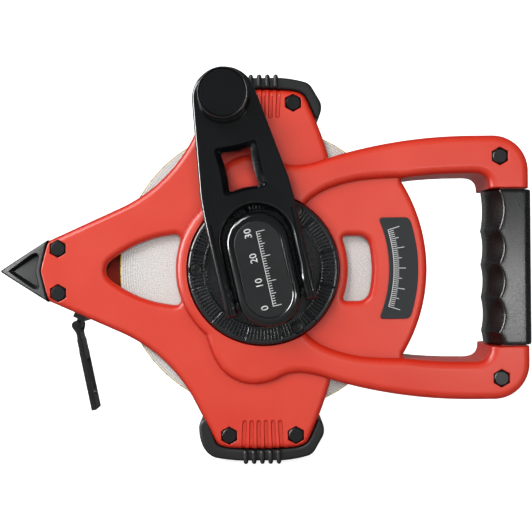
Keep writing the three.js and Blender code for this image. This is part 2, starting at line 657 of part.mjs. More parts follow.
function hubBlock() {
  const bodyFront = BLOCK_FRONT + 2.2;
  const recess = stadium(BLOCK_LABEL.halfWidth + GAP, BLOCK_LABEL.halfHeight + GAP);
  const top = stadium(BLOCK_TOP.halfWidth, BLOCK_TOP.halfHeight);
  const front = slab(top, BLOCK_FRONT, BLOCK_FRONT + BLOCK_TOP.height);
  const body = slab(stadium(BLOCK_BODY.halfWidth, BLOCK_BODY.halfHeight), bodyFront, DISC_FLOOR - GAP);
  return carve([body, front], [
    acrossArm(PIN_R + GAP, 60),
    slab(recess, BLOCK_FRONT - PAST, BLOCK_FRONT + BLOCK_LABEL.sink),
  ]);
}

add('hub_block', hubBlock(), glossBlack, crank);

const labelBack = BLOCK_FRONT + BLOCK_LABEL.sink - 0.1;
const labelPlan = stadium(BLOCK_LABEL.halfWidth, BLOCK_LABEL.halfHeight);
add('hub_label', slab(labelPlan, labelBack - BLOCK_LABEL.thickness, labelBack), labelGrey, crank);

function crankArm() {
  const plan = new THREE.Shape();
  plan.moveTo(-PRONG_HALF_SPAN, PRONG_END_U);
  plan.lineTo(-FORK_HALF_GAP, PRONG_END_U);
  plan.lineTo(-FORK_HALF_GAP, FORK_TOP_U - FORK_HALF_GAP);
  plan.absarc(0, FORK_TOP_U - FORK_HALF_GAP, FORK_HALF_GAP, Math.PI, 0, true);
  plan.lineTo(FORK_HALF_GAP, PRONG_END_U);
  plan.lineTo(PRONG_HALF_SPAN, PRONG_END_U);
  plan.lineTo(ARM_SHOULDER.halfSpan, ARM_SHOULDER.u);
  plan.lineTo(ARM_TIP_R, ARM_KNOB_U);
  plan.absarc(0, ARM_KNOB_U, ARM_TIP_R, 0, Math.PI);
  plan.lineTo(-ARM_SHOULDER.halfSpan, ARM_SHOULDER.u);
  const front = ARM_PIVOT_Y - ARM_HALF_THICK;
  const back = ARM_PIVOT_Y + ARM_HALF_THICK;
  // Seen from the side, both ends of the arm are rounded, and the prongs turn about the pin.
  const side = new THREE.Shape();
  side.absarc(ARM_PIVOT_Y, ARM_PIVOT_U, ARM_HALF_THICK, Math.PI, 2 * Math.PI);
  side.lineTo(back, ARM_KNOB_U + ARM_TIP_R + 1);
  side.lineTo(front, ARM_KNOB_U + ARM_TIP_R + 1);
  const sideSlab = new THREE.ExtrudeGeometry(side, { depth: 60, bevelEnabled: false, curveSegments: 8 })
    .applyMatrix4(new THREE.Matrix4().makeBasis(
      new THREE.Vector3(0, 1, 0), new THREE.Vector3(0, 0, 1), new THREE.Vector3(1, 0, 0),
    ))
    .translate(-30, 0, 0);
  const recess = rectangle(ARM_WINDOW.left, ARM_WINDOW.right, ARM_WINDOW.bottom, ARM_WINDOW.top);
  const { left, right, bottom, top } = ARM_WINDOW_HOLE;
  const footPocket = KNOB_AXLE.footDepth + 2 * GAP;
  return carve([common(slab(plan, front, back), sideSlab)], [
    slab(recess, front - PAST, front + ARM_WINDOW.recess),
    slab(rectangle(left, right, bottom, top), front - 2 * PAST, back + PAST),
    acrossArm(PIN_R + GAP, 60),
    slab(circle(0, ARM_KNOB_U, KNOB_AXLE.radius + GAP), front - PAST, back + PAST, 6),
    slab(circle(0, ARM_KNOB_U, KNOB_AXLE.headR + 0.4), back - footPocket, back + PAST, 6),
  ]);
}

add('crank_arm', crankArm(), glossBlack, crank);
add('crank_pin', acrossArm(PIN_R, 2 * PRONG_HALF_SPAN - 1.6), blackSteel, crank);

const knobBack = ARM_PIVOT_Y - ARM_HALF_THICK - GAP;
const knobFront = knobBack - KNOB_HEIGHT;

function crankKnob() {
  const { radius, capSeat, floor } = KNOB_RECESS;
  return turned([
    [KNOB_BORE_R, knobFront + floor], [radius, knobFront + floor], [radius, knobFront + capSeat],
    [radius + 0.2, knobFront], [KNOB_R - 0.7, knobFront], [KNOB_R, knobFront + 1], [KNOB_R, knobBack - 1],
    [KNOB_R + 0.4, knobBack], [KNOB_BORE_R, knobBack], [KNOB_BORE_R, knobFront + floor],
  ], 24, 0, ARM_KNOB_U);
}

add('crank_knob', crankKnob(), glossBlack, crank);

// The cap is slightly domed and closes the knob's recess.
add('knob_cap', turned([
  [0, knobFront + 0.5], [8, knobFront + 0.3], [CAP_R, knobFront + 0.1], [CAP_R, knobFront + 1.7],
  [0, knobFront + 1.9],
], 24, 0, ARM_KNOB_U), glossBlack, crank);

// Shouldered axle: its front head holds the knob and its back head sits in the arm.
const axleHeadFront = knobFront + KNOB_AXLE.headTop;
const axleHeadBack = axleHeadFront + KNOB_AXLE.headDepth;
const axleFootBack = ARM_PIVOT_Y + ARM_HALF_THICK - GAP;
const axleFootFront = axleFootBack - KNOB_AXLE.footDepth;

add('knob_axle', turned([
  [0, axleHeadFront], [KNOB_AXLE.headR, axleHeadFront], [KNOB_AXLE.headR, axleHeadBack],
  [KNOB_AXLE.radius, axleHeadBack], [KNOB_AXLE.radius, axleFootFront], [KNOB_AXLE.headR, axleFootFront],
  [KNOB_AXLE.headR, axleFootBack], [0, axleFootBack],
], 16, 0, ARM_KNOB_U), steel, crank);

// ---- Tape mouth and hook -------------------------------------------------------------------

add('mouth_guide', carve(
  [alongTape(0, MOUTH_GUIDE.length, MOUTH_GUIDE.thickness, MOUTH_GUIDE.halfWidth)],
  [alongTape(0, MOUTH_GUIDE.length + 2, MOUTH_GUIDE.slot, MOUTH_GUIDE.slotHalfWidth)],
), blackPlastic);

// The hook hangs along -Z in its own group and leans towards +X.
const hook = new THREE.Group();
hook.position.set(HOOK_PIVOT.x, 0, HOOK_PIVOT.y);
hook.rotation.y = -HOOK_LEAN;
root.add(hook);

const hookPinBore = () => slab(circle(0, 0, HOOK_PIN_R + HOOK_PIN_CLEARANCE), -THROUGH, THROUGH, BOLT_STEPS);

function endHook() {
  const half = HOOK_THICK / 2;
  const arm = slab(rectangle(-half, half, -HOOK_LENGTH, -7), -HOOK_HALF_WIDTH, HOOK_HALF_WIDTH);
  const neck = slab(rectangle(0.4 - half, half - 0.4, -8, 0), -HOOK_HALF_WIDTH, HOOK_HALF_WIDTH);
  const eye = slab(circle(0, 0, HOOK_EYE_R), -HOOK_HALF_WIDTH, HOOK_HALF_WIDTH, 6);
  const { half: holeHalf, top: holeTop, bottom: holeBottom } = HOOK_HOLE;
  const fingerHole = slab(rectangle(-10, 10, holeBottom, holeTop), -holeHalf, holeHalf);
  const forkGap = slab(rectangle(-5, 5, -HOOK_FORK.reach, 5), -HOOK_FORK.half, HOOK_FORK.half);
  return carve([arm, neck, eye], [fingerHole, forkGap, hookPinBore()]);
}

add('end_hook', endHook(), blackPlastic, hook);
const HOOK_PIN_HALF = HOOK_HALF_WIDTH - GAP;
add('hook_pin', slab(circle(0, 0, HOOK_PIN_R), -HOOK_PIN_HALF, HOOK_PIN_HALF, BOLT_STEPS), steel, hook);

// The clasp closes over the tape's end and holds the hook pin.
function hookClasp() {
  const { eyeR, halfWidth, thickness, from, to } = CLASP;
  const eye = slab(circle(HOOK_PIVOT.x, HOOK_PIVOT.y, eyeR), -halfWidth, halfWidth, 6);
  const jaw = alongTape((from + to) / 2, to - from, thickness, halfWidth);
  const bore = hookPinBore().translate(HOOK_PIVOT.x, 0, HOOK_PIVOT.y);
  const tapeSlot = alongTape(0.5, 5, 1.9, 10);
  return carve([jaw, eye], [bore, tapeSlot]);
}

add('hook_clasp', hookClasp(), blackPlastic);

export default root;
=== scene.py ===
import json
from math import asin, atan2, copysign, cos, degrees, hypot, pi, radians, sin, sqrt

import bmesh
import bpy
import numpy as np
from mathutils import Matrix, Vector
from mathutils.geometry import delaunay_2d_cdt
from numpy.linalg import norm


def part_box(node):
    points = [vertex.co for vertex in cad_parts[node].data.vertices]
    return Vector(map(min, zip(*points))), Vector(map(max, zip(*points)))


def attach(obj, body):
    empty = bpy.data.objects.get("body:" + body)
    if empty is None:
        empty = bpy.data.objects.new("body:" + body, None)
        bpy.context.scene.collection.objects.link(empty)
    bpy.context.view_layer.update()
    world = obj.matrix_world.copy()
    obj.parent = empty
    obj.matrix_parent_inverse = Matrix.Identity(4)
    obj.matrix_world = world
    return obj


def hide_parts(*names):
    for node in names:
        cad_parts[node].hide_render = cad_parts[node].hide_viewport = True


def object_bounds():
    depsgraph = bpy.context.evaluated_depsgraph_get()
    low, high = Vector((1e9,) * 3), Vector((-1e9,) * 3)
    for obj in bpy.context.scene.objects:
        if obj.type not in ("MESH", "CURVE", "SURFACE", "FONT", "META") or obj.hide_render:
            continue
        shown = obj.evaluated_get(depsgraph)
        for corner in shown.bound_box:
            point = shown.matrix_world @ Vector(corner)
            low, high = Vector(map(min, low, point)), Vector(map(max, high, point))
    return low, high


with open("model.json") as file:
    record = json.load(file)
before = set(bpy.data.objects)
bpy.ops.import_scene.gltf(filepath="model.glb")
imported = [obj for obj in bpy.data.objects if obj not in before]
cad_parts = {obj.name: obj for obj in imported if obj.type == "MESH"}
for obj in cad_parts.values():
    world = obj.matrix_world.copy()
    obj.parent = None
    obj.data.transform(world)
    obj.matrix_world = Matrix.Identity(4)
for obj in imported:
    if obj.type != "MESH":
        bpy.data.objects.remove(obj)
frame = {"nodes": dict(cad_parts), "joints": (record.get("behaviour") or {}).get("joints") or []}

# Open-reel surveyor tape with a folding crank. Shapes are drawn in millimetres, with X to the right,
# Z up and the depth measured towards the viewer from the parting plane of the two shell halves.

MM = 0.001
scene = bpy.context.scene
cad_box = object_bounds()
nodes = frame["nodes"]
joints = {joint["name"]: joint for joint in frame["joints"]}


# ---- Places taken from the frame ----

def box_mm(node):
    """Lowest and highest corner of a CAD node in millimetres."""
    low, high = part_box(node)
    return np.array(low) / MM, np.array(high) / MM


def middle(node):
    low, high = box_mm(node)
    return (low + high) / 2


PARTING = middle("tape_coil")[1]  # Y of the parting plane


def front_of(node):
    """Depth of the front of a CAD node."""
    return PARTING - box_mm(node)[0][1]


HEAD_SINK = 0.2  # bolt heads sit this far below the face around them
LOOP = -PARTING  # depth of the raised loop, as the back face is at Y = 0
BASE = front_of("frame_bolt_1") + HEAD_SINK  # depth of nose, lobes and panel
COIL_R = box_mm("tape_coil")[1][0]
COIL_HALF = front_of("tape_coil")
DISC_R = box_mm("crank_disc")[1][0]
DISC_TOP = front_of("crank_disc")
PIVOT = np.array(joints["crank_fold"]["pos_m"]) / MM
KNOB_AT = np.array(joints["knob_spin"]["pos_m"]) / MM
HOOK_AT = np.array(joints["hook_swing"]["pos_m"]) / MM
ARM_DEPTH = PARTING - PIVOT[1]  # depth of the crank pin


# ---- Flat outlines, in millimetres in the X-Z plane ----

def unit(value):
    return np.clip(value, 0, 1)


def quad(start, control, end, steps):
    """Points of a quadratic curve."""
    t = np.linspace(0, 1, steps + 1)[:, None]
    start, control, end = np.array(start), np.array(control), np.array(end)
    return (1 - t) ** 2 * start + 2 * t * (1 - t) * control + t ** 2 * end


def around(x, z, radius, angles):
    return np.stack([x + radius * np.cos(angles), z + radius * np.sin(angles)], axis=1)


def arc(x, z, radius, start, end, step=4.0):
    """Points of an arc, with angles in degrees."""
    count = max(2, int(abs(end - start) / step) + 1)
    return around(x, z, radius, np.radians(np.linspace(start, end, count)))


def path(*pieces):
    """Joins points and point lists, and drops points that repeat."""
    points = np.concatenate([np.atleast_2d(np.array(p, float)) for p in pieces])
    keep = np.ones(len(points), bool)
    keep[1:] = norm(np.diff(points, axis=0), axis=1) > 1e-4
    return points[keep]


def chain(start, *runs):
    """Points along runs: a line is (x, z), a curve is (control x, control z, end x, end z, steps)."""
    points = np.array([start], float)
    for run in runs:
        line = len(run) == 2
        points = path(points, run if line else quad(points[-1], run[:2], run[2:4], run[4]))
    return points


def closed(points, spacing=1.5):
    """A closed outline with its long sides divided to the spacing."""
    if norm(points[0] - points[-1]) < 1e-4:
        points = points[:-1]
    out = []
    for a, b in zip(points, np.roll(points, -1, axis=0)):
        count = max(1, int(round(norm(b - a) / spacing)))
        out.append(a + (b - a) * (np.arange(count) / count)[:, None])
    return np.concatenate(out)


def mirrored(half, spacing=1.5):
    """Closes the upper half of an outline with its mirror image below the X axis."""
    low = half[half[:, 1] > 1e-3][::-1] * (1, -1)
    return closed(path(half, low), spacing)


def circle(x, z, radius, count):
    return around(x, z, radius, np.arange(count) * 2 * pi / count)


def box(half_width, half_height, at=(0, 0), spacing=1.0):
    """A closed oblong outline about a point."""
    w, h = half_width, half_height
    return closed(np.array([(-w, -h), (w, -h), (w, h), (-w, h)]) + at, spacing)


def hexagon(x, z, across_flats):
    return circle(0, 0, across_flats / sqrt(3), 6)[:, ::-1] + (x, z)


def area(loop):
    x, z = loop.T
    return 0.5 * np.sum(x * np.roll(z, -1) - np.roll(x, -1) * z)


def inset(loop, amount):
    """Moves a closed outline inwards along its normals."""
    ahead = np.roll(loop, -1, axis=0) - loop
    ahead /= norm(ahead, axis=1)[:, None]
    behind = np.roll(ahead, 1, axis=0)
    tangent = ahead + behind
    length = norm(tangent, axis=1)[:, None]
    tangent = np.where(length > 1e-6, tangent / np.maximum(length, 1e-6), ahead)
    normal = np.stack([-tangent[:, 1], tangent[:, 0]], axis=1)
    across = np.stack([-ahead[:, 1], ahead[:, 0]], axis=1)
    stretch = 1 / np.clip(np.abs(np.sum(normal * across, axis=1)), 0.5, 1)
    return loop + normal * (amount * copysign(1, area(loop))) * stretch[:, None]


def inside(points, loop):
    """Distance from each point to a closed outline, positive inside it."""
    a, b = loop, np.roll(loop, -1, axis=0)
    edge = b - a
    size = np.maximum(np.sum(edge ** 2, axis=1), 1e-12)
    result = np.empty(len(points))
    for begin in range(0, len(points), 2000):
        p = points[begin:begin + 2000, None, :]
        along = unit(np.sum((p - a) * edge, axis=2) / size)
        gap = np.min(norm(p - a - along[..., None] * edge, axis=2), axis=1)
        above = (a[:, 1] > p[..., 1]) != (b[:, 1] > p[..., 1])
        rise = np.where(np.abs(edge[:, 1]) < 1e-12, 1e-12, edge[:, 1])
        crossing = a[:, 0] + (p[..., 1] - a[:, 1]) * edge[:, 0] / rise
        odd = np.sum(above & (p[..., 0] < crossing), axis=1) % 2 == 1
        result[begin:begin + 2000] = np.where(odd, gap, -gap)
    return result


def clearance(points, outline, *holes):
    """Distance to the nearest of an outline and its holes, positive in the material between them."""
    return np.min([inside(points, outline)] + [-inside(points, hole) for hole in holes], axis=0)


def fillet(distance, width, height):
    """How far a surface drops at a distance from a rounded edge."""
    t = unit(1 - distance / width)
    return height * (1 - np.sqrt(np.maximum(0, 1 - t ** 2)))


def fillet_rings(loop, width, sign=1, steps=6):
    """Outlines that divide a rounded edge evenly; sign is -1 for the edge of a hole."""
    angles = np.linspace(0, pi / 2, steps + 1)[1:]
    return [inset(loop, sign * width * (1 - cos(a))) for a in angles]


STEP = 0.02  # run of an upright wall between two levels


def step_rings(loop):
    return [inset(loop, STEP), inset(loop, -STEP)]


def slit(half_width, at, spacing):
    """A line across a surface, as a very thin closed outline from a point upwards."""
    return box(half_width, STEP / 2, (at[0], at[1] + STEP / 2), spacing)


# ---- Meshes ----


def add_object(name, data):
    item = bpy.data.objects.new(name, data)
    scene.collection.objects.link(item)
    return item


def face_outwards(mesh, weld=0.0):
    """Turns all faces outwards, once points closer than the weld distance are joined."""
    work = bmesh.new()
    work.from_mesh(mesh)
    if weld:
        bmesh.ops.remove_doubles(work, verts=work.verts, dist=weld)
    bmesh.ops.recalc_face_normals(work, faces=work.faces)
    work.to_mesh(mesh)
    work.free()


def finish_mesh(name, shape, body, material, smooth=30, node=None, matrix=None, weighted=True):
    """Makes a piece from points in millimetres (x, depth towards the viewer, z) and their faces.

    It rides on a CAD body, and stands for a CAD node where one is named.
    """
    verts, faces = shape
    verts = np.asarray(verts, float)
    world = (verts * (1, -1, 1) + (0, PARTING, 0)) * MM
    mesh = bpy.data.meshes.new(name)
    mesh.from_pydata(world.tolist(), [], faces)
    mesh.validate()
    face_outwards(mesh)
    if matrix is not None:
        mesh.transform(matrix)
    mesh.polygons.foreach_set("use_smooth", [True] * len(mesh.polygons))
    mesh.set_sharp_from_angle(angle=radians(smooth))
    mesh.materials.append(material)
    piece = add_object(name, mesh)
    if weighted:
        piece.modifiers.new("even normals", "WEIGHTED_NORMAL").keep_sharp = True
    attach(piece, body)
    if node:
        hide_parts(node)
    return piece


def add_ring(verts, rings, points):
    """Adds one ring of points to a list of points, and its numbers to a list of rings."""
    rings.append(list(range(len(verts), len(verts) + len(points))))
    verts += points


def level(depth):
    """A depth function that is the same everywhere."""
    return lambda p: np.full(len(p), depth)


def relief(outer, holes, lines, top, bottom=None):
    """Points and faces of a solid between two depth functions over a flat outline with holes.

    The bottom is the top's mirror image when it is left out, and lines are further outlines to follow.
    """
    loops = [outer] + list(holes)
    coords, edges = [], []
    for loop in loops + list(lines):
        first = len(coords)
        coords.extend(Vector(p) for p in loop)
        count = len(loop)
        edges.extend((first + i, first + (i + 1) % count) for i in range(count))
    flat, _, triangles, _, _, _ = delaunay_2d_cdt(coords, edges, [], 0, 1e-4)
    flat = np.array([tuple(v) for v in flat])
    triangles = np.array([t for t in triangles if len(t) == 3])
    centres = flat[triangles].mean(axis=1)
    keep = inside(centres, outer) > 0
    for hole in holes:
        keep &= inside(centres, hole) < 0
    triangles = triangles[keep]
    used = np.unique(triangles)
    index = -np.ones(len(flat), int)
    index[used] = np.arange(len(used))
    flat, triangles = flat[used], index[triangles]
    count = len(flat)
    high = top(flat)
    low = bottom(flat) if bottom else -high
    verts = np.concatenate([np.stack([flat[:, 0], depth, flat[:, 1]], axis=1) for depth in (high, low)])
    triangles = triangles.tolist()
    sides = {}
    for a, b, c in triangles:
        for edge in ((a, b), (b, c), (c, a)):
            if not sides.pop(edge[::-1], False):
                sides[edge] = True
    faces = [tuple(t) for t in triangles]
    faces += [tuple(i + count for i in t[::-1]) for t in triangles]
    faces += [(b, a, a + count, b + count) for a, b in sides]
    return verts, faces


def turned(profile, steps, centre=(0, 0)):
    """Points and faces of a body turned about an axis in depth; profile is (radius, depth)."""
    x, z = centre
    angles = [2 * pi * i / steps for i in range(steps)]
    verts, rings = [], []
    for r, depth in profile:
        ring = [(x + r * cos(a), depth, z + r * sin(a)) for a in angles]
        add_ring(verts, rings, ring if r else ring[:1])
    faces = skin(rings, steps)
    if len(rings[0]) > 1 and len(rings[-1]) > 1:
        faces += strip(rings[-1], rings[0], steps)
    return verts, faces


def skin(rings, steps):
    """Faces between each ring and the next."""
    return [face for one, two in zip(rings, rings[1:]) for face in strip(one, two, steps)]


def strip(one, two, steps):
    """Faces between two rings, either of which may be a single point."""
    faces = []
    for i in range(steps):
        j = (i + 1) % steps
        corners = [one[i % len(one)], one[j % len(one)], two[j % len(two)], two[i % len(two)]]
        faces.append(tuple(dict.fromkeys(corners)))
    return faces


def rounded(points, radius=0.5, steps=3):
    """Rounds the inner corners of an open (radius, depth) profile."""
    out = [points[0]]
    for before, here, after in zip(points, points[1:], points[2:]):
        a = np.array(before, float) - here
        b = np.array(after, float) - here
        reach = min(radius, norm(a) * 0.45, norm(b) * 0.45)
        start = here + a / norm(a) * reach
        end = here + b / norm(b) * reach
        out += [tuple(p) for p in quad(start, here, end, steps)]
    return out + [points[-1]]


# ---- Materials ----

def srgb(code):
    """Linear colour of a #rrggbb code."""
    parts = [int(code[i:i + 2], 16) / 255 for i in (1, 3, 5)]
    return tuple(c / 12.92 if c <= 0.04045 else ((c + 0.055) / 1.055) ** 2.4 for c in parts)


class Shader:
    """A small helper for building one node material."""

    def __init__(self, name, slot=None):
        self.material = bpy.data.materials.new(name)
        self.material.use_nodes = True
        self.tree = self.material.node_tree
        self.shader = self.tree.nodes["Principled BSDF"]
        self.place = self.add("ShaderNodeTexCoord").outputs["Object"]

    def add(self, kind, **inputs):
        node = self.tree.nodes.new(kind)
        for key, value in inputs.items():
            self.set(node.inputs[key.replace("_", " ")], value)
        return node

    def set(self, socket, value):
        """Links or sets an input; a colour is a #rrggbb code or three numbers."""
        if isinstance(value, str):
            value = srgb(value)
        if isinstance(value, bpy.types.NodeSocket):
            self.tree.links.new(value, socket)
        elif isinstance(value, tuple) and socket.type == "RGBA":
            socket.default_value = (*value, 1)
        else:
            socket.default_value = value

    def noise(self, scale, detail=2.0, roughness=0.55, vector=None):
        node = self.add("ShaderNodeTexNoise", Scale=scale, Detail=detail, Roughness=roughness)
        self.set(node.inputs["Vector"], vector or self.place)
        return node.outputs["Fac"]

    def ramp(self, value, low, high, start=0, end=1):
        node = self.add("ShaderNodeMapRange")
        for socket, number in zip(node.inputs[1:5], (low, high, start, end)):
            socket.default_value = number
        self.set(node.inputs[0], value)
        return node.outputs[0]

    def math(self, operation, one, two=0.0):
        node = self.add("ShaderNodeMath")
        node.operation = operation
        self.set(node.inputs[0], one)
        self.set(node.inputs[1], two)
        return node.outputs[0]

    def times(self, one, two):
        return self.math("MULTIPLY", one, two)

    def plus(self, one, two):
        return self.math("ADD", one, two)

    def waves(self, value, length):
        """A sine wave along a value, with the given wavelength."""
        return self.math("SINE", self.times(value, 2 * pi / length))

    def mix(self, factor, one, two):
        node = self.add("ShaderNodeMix")
        node.data_type = "RGBA"
        self.set(node.inputs["Factor"], factor)
        self.set(node.inputs[6], one)
        self.set(node.inputs[7], two)
        return node.outputs[2]

    def bump(self, height, distance, strength=1.0, under=None):
        node = self.add("ShaderNodeBump", Strength=strength, Distance=distance, Height=height)
        if under is not None:
            self.set(node.inputs["Normal"], under)
        return node.outputs["Normal"]

    def worn(self):
        """1 on sharp outer edges and 0 elsewhere."""
        geometry = self.add("ShaderNodeNewGeometry")
        bevel = self.add("ShaderNodeBevel", Radius=0.6 * MM)
        bevel.samples = 2
        dot = self.add("ShaderNodeVectorMath")
        dot.operation = "DOT_PRODUCT"
        self.set(dot.inputs[0], geometry.outputs["Normal"])
        self.set(dot.inputs[1], bevel.outputs["Normal"])
        return self.ramp(dot.outputs["Value"], 0.98, 0.80)

    def surface(self, colour, roughness, normal=None, metallic=0.0, specular=0.5):
        values = {"Base Color": colour, "Roughness": roughness, "Metallic": metallic,
                  "Specular IOR Level": specular, "Normal": normal}
        for name, value in values.items():
            if value is not None:
                self.set(self.shader.inputs[name], value)
        return self.material


def moulded(name, slot, colour, lighter, rough, grain=0.04, specular=0.5, wave=0.03):
    """Moulded plastic or rubber: a fine grain, faint flow marks and slightly worn edges.

    rough is its lowest and highest roughness, and the heights of grain and wave are in millimetres.
    """
    m = Shader(name, slot)
    flow = m.noise(28)
    speckle = m.noise(900)
    fine = m.noise(2600, 2.0, 0.6)
    tone = m.mix(m.ramp(flow, 0.35, 0.65, 0.0, 0.35), colour, lighter)
    tone = m.mix(m.times(m.worn(), 0.35), tone, lighter)
    polish = m.ramp(m.plus(m.times(flow, 0.6), m.times(speckle, 0.4)), 0.3, 0.7, *rough)
    normal = m.bump(fine, grain * MM, 1.0, m.bump(m.noise(160), wave * MM, 0.5))
    return m.surface(tone, polish, normal, specular=specular)


def red_plastic():
    """The shell's red with painted light: a painted sheen makes its flat faces lighter, and painted
    shade makes its sides and corners deeper red.
    """
    m = Shader("red shell plastic with painted shade", "red_shell")
    flow = m.noise(24)
    fine = m.noise(2200, 2.0, 0.6)
    split = m.add("ShaderNodeSeparateXYZ", Vector=m.add("ShaderNodeNewGeometry").outputs["Normal"])
    # Painted sheen and shade: faces turned to the front get a lighter red, faces turned aside a deeper
    # red.
    painted_sheen_facing = m.ramp(m.math("ABSOLUTE", split.outputs["Y"]), 0.72, 1.0)
    # Painted shade: corners and hollows, found by ambient occlusion, get a deep red.
    corner = m.add("ShaderNodeAmbientOcclusion", Distance=6 * MM)
    corner.samples = 4
    free_of_painted_shade = m.ramp(corner.outputs["AO"], 0.45, 0.95)
    lit = m.mix(m.ramp(flow, 0.35, 0.65), "#e3402c", "#e84834")
    # Painted shade on the sides, painted sheen on the flat faces.
    tone = m.mix(painted_sheen_facing, "#d82a12", lit)
    # Painted shade in the corners.
    tone = m.mix(free_of_painted_shade, "#a81605", tone)
    tone = m.mix(m.times(m.worn(), 0.3), tone, "#f0604a")
    polish = m.ramp(m.plus(m.times(flow, 0.5), m.times(fine, 0.5)), 0.3, 0.7, 0.3, 0.44)
    normal = m.bump(fine, 0.02 * MM, 1.0, m.bump(m.noise(150), 0.03 * MM, 0.5))
    return m.surface(tone, polish, normal, specular=0.36)


def bright_steel():
    """Turned steel with a fine directional polish."""
    colour = (0.6, 0.61, 0.63)
    m = Shader("bright steel", "steel")
    stretch = m.add("ShaderNodeMapping")
    stretch.inputs["Scale"].default_value = (1, 14, 1)
    m.set(stretch.inputs["Vector"], m.place)
    lines = m.noise(900, 3.0, 0.6, stretch.outputs["Vector"])
    tone = m.mix(m.ramp(m.noise(300, 3.0), 0.3, 0.7, 0, 0.5), colour, tuple(c * 0.7 for c in colour))
    return m.surface(tone, m.ramp(lines, 0.3, 0.7, 0.2, 0.36), m.bump(lines, 0.02 * MM), metallic=1.0)


def tape_edge_material():
    """The edges of the wound tape: fine turns with a woven, mottled face, and painted shade as dark
    lines between the loose outer turns.
    """
    m = Shader("tape edge", "tape_edge")
    x, y, z = m.add("ShaderNodeSeparateXYZ", Vector=m.place).outputs
    radius = m.math("SQRT", m.plus(m.times(x, x), m.times(z, z)))
    angle = m.math("ARCTAN2", z, x)
    turns = m.waves(radius, 0.55 * MM)
    knots = m.math("SINE", m.times(angle, 520))
    polar = m.add("ShaderNodeCombineXYZ", X=m.times(radius, 2000), Y=m.times(angle, 120), Z=y)
    weave = m.noise(1.0, 2.0, 0.6, polar.outputs[0])
    drift = m.noise(170)
    height = m.plus(m.times(turns, 0.35), m.times(weave, 1.4))
    height = m.plus(height, m.times(knots, 0.25))
    tone = m.mix(m.ramp(weave, 0.36, 0.62), "#bdbcb8", "#fdfdfb")
    tone = m.mix(m.ramp(drift, 0.4, 0.7, 0, 0.4), tone, "#e2e0da")
    # Painted shade: dark lines in the gaps between the loose turns near the outside of the coil.
    painted_gap_shade = m.ramp(radius, (COIL_R - 16) * MM, (COIL_R - 3) * MM, 0, 0.55)
    line = m.ramp(m.waves(radius, 1.3 * MM), 0.3, 1)
    tone = m.mix(m.times(painted_gap_shade, line), tone, "#8f8d88")
    return m.surface(tone, 0.62, m.bump(height, 0.18 * MM, 0.8))


def tape_face_material():
    """The printed yellow face of the tape, with plain dark divisions 10 mm apart along it."""
    m = Shader("tape face", "tape_face")
    x, y, z = m.add("ShaderNodeSeparateXYZ", Vector=m.place).outputs
    along = m.math("FRACT", m.times(m.math("ARCTAN2", z, x), COIL_R / 10))
    dark = m.math("LESS_THAN", along, 0.09)
    off_middle = m.math("ABSOLUTE", m.math("SUBTRACT", y, PARTING * MM))
    side = m.math("GREATER_THAN", off_middle, 4.5 * MM)
    tone = m.mix(m.times(dark, side), "#e6c62c", "#1c1c1a")
    weave = m.noise(1500)
    return m.surface(tone, m.ramp(weave, 0.3, 0.7, 0.35, 0.5), m.bump(weave, 0.05 * MM))


red = red_plastic()
black = moulded("black plastic", "black_plastic", "#0c0e0f", "#191c1e", (0.36, 0.5), 0.02, 0.28)
gloss = moulded("glossy black plastic", "gloss_black", "#0a0c0e", "#14171a", (0.12, 0.18),
                0.001, 0.6, 0.01)
disc_black = moulded("disc plastic", "black_plastic", "#121416", "#262b2e", (0.22, 0.32), 0.01, 0.6)
rubber = moulded("black rubber", "black_rubber", "#121415", "#222526", (0.42, 0.56), 0.04, 0.4)
grip_rubber = moulded("grip rubber", "black_rubber", "#0b0d0e", "#141718", (0.24, 0.3),
                      0.001, 0.5, 0.01)
label = moulded("label foil", "label", "#272b2d", "#313638", (0.42, 0.52), 0.01, 0.25)
dark_label = moulded("dark label foil", "label", "#121416", "#1b1e20", (0.36, 0.46), 0.01, 0.4)
steel = bright_steel()
bolt_black = moulded("black oxide steel", "black_steel", "#0b0c0e", "#17191b", (0.3, 0.42), 0.01, 0.4)
lead_edge = moulded("tape lead edge", None, "#5a5650", "#77736b", (0.5, 0.6))
white_ink = moulded("white print", "label", "#d8dbdb", "#eceeee", (0.45, 0.55), 0.01)
tape_edge = tape_edge_material()
tape_face = tape_face_material()


# ---- Shell ----

GRIP_TOP = 42.0  # the red shell stops here above and below the grip
CORE_LEFT, CORE_RIGHT, CORE_DEPTH = 127.0, 139.5, 12.4
EDGE_W, EDGE_H = 3.8, 3.5  # rounded edge of the lower level
LOOP_W, LOOP_H = 4.8, 4.0  # rounded edge of the raised loop
WALL = 9.0  # inner face beside the coil
BAY_R = COIL_R + 2.2
RIGHT_END = 141.5
HAND_RIGHT = 120.3  # right side of the hand opening
HAND_SIDE = chain((76.5, 48.1), (90, 50.1, 112, 50.1, 12), (HAND_RIGHT, 50.1, HAND_RIGHT, 43.2, 8))
BAR = quad((35.6, 59.2), (72, 70.3), (112, 70.3), 30)
CORNER = arc(122.5, 51.3, 19, 90, 0)
NOSE_BACK, NOSE_CORNER = (-118.8, 0), (-114.7, 16.3)
FLUTES = [(-10.6 + 3.78 * i, -0.9 + 0.36 * i) for i in range(6)]  # foot and lean of each
FLUTE_R, FLUTE_FOOT, FLUTE_TOP = 1.25, 81.6, 99


def flank(nose):
    """The edge of the shell from the nose over the upper lobe to the end of the handle."""
    lobe = chain((-77, 33.2), (-52, 44.4, -38.5, 68.2, 24), (-26.0, 92.4), (-24.6, 94.9, -19, 95.5, 8),
                 (-1.3, 97.2, 16, 95.4, 12), (21.8, 94.7, 23.7, 91.4, 8), (31.2, 75.5, 35.6, 60.2, 16))
    return path(nose, lobe, BAR, CORNER)


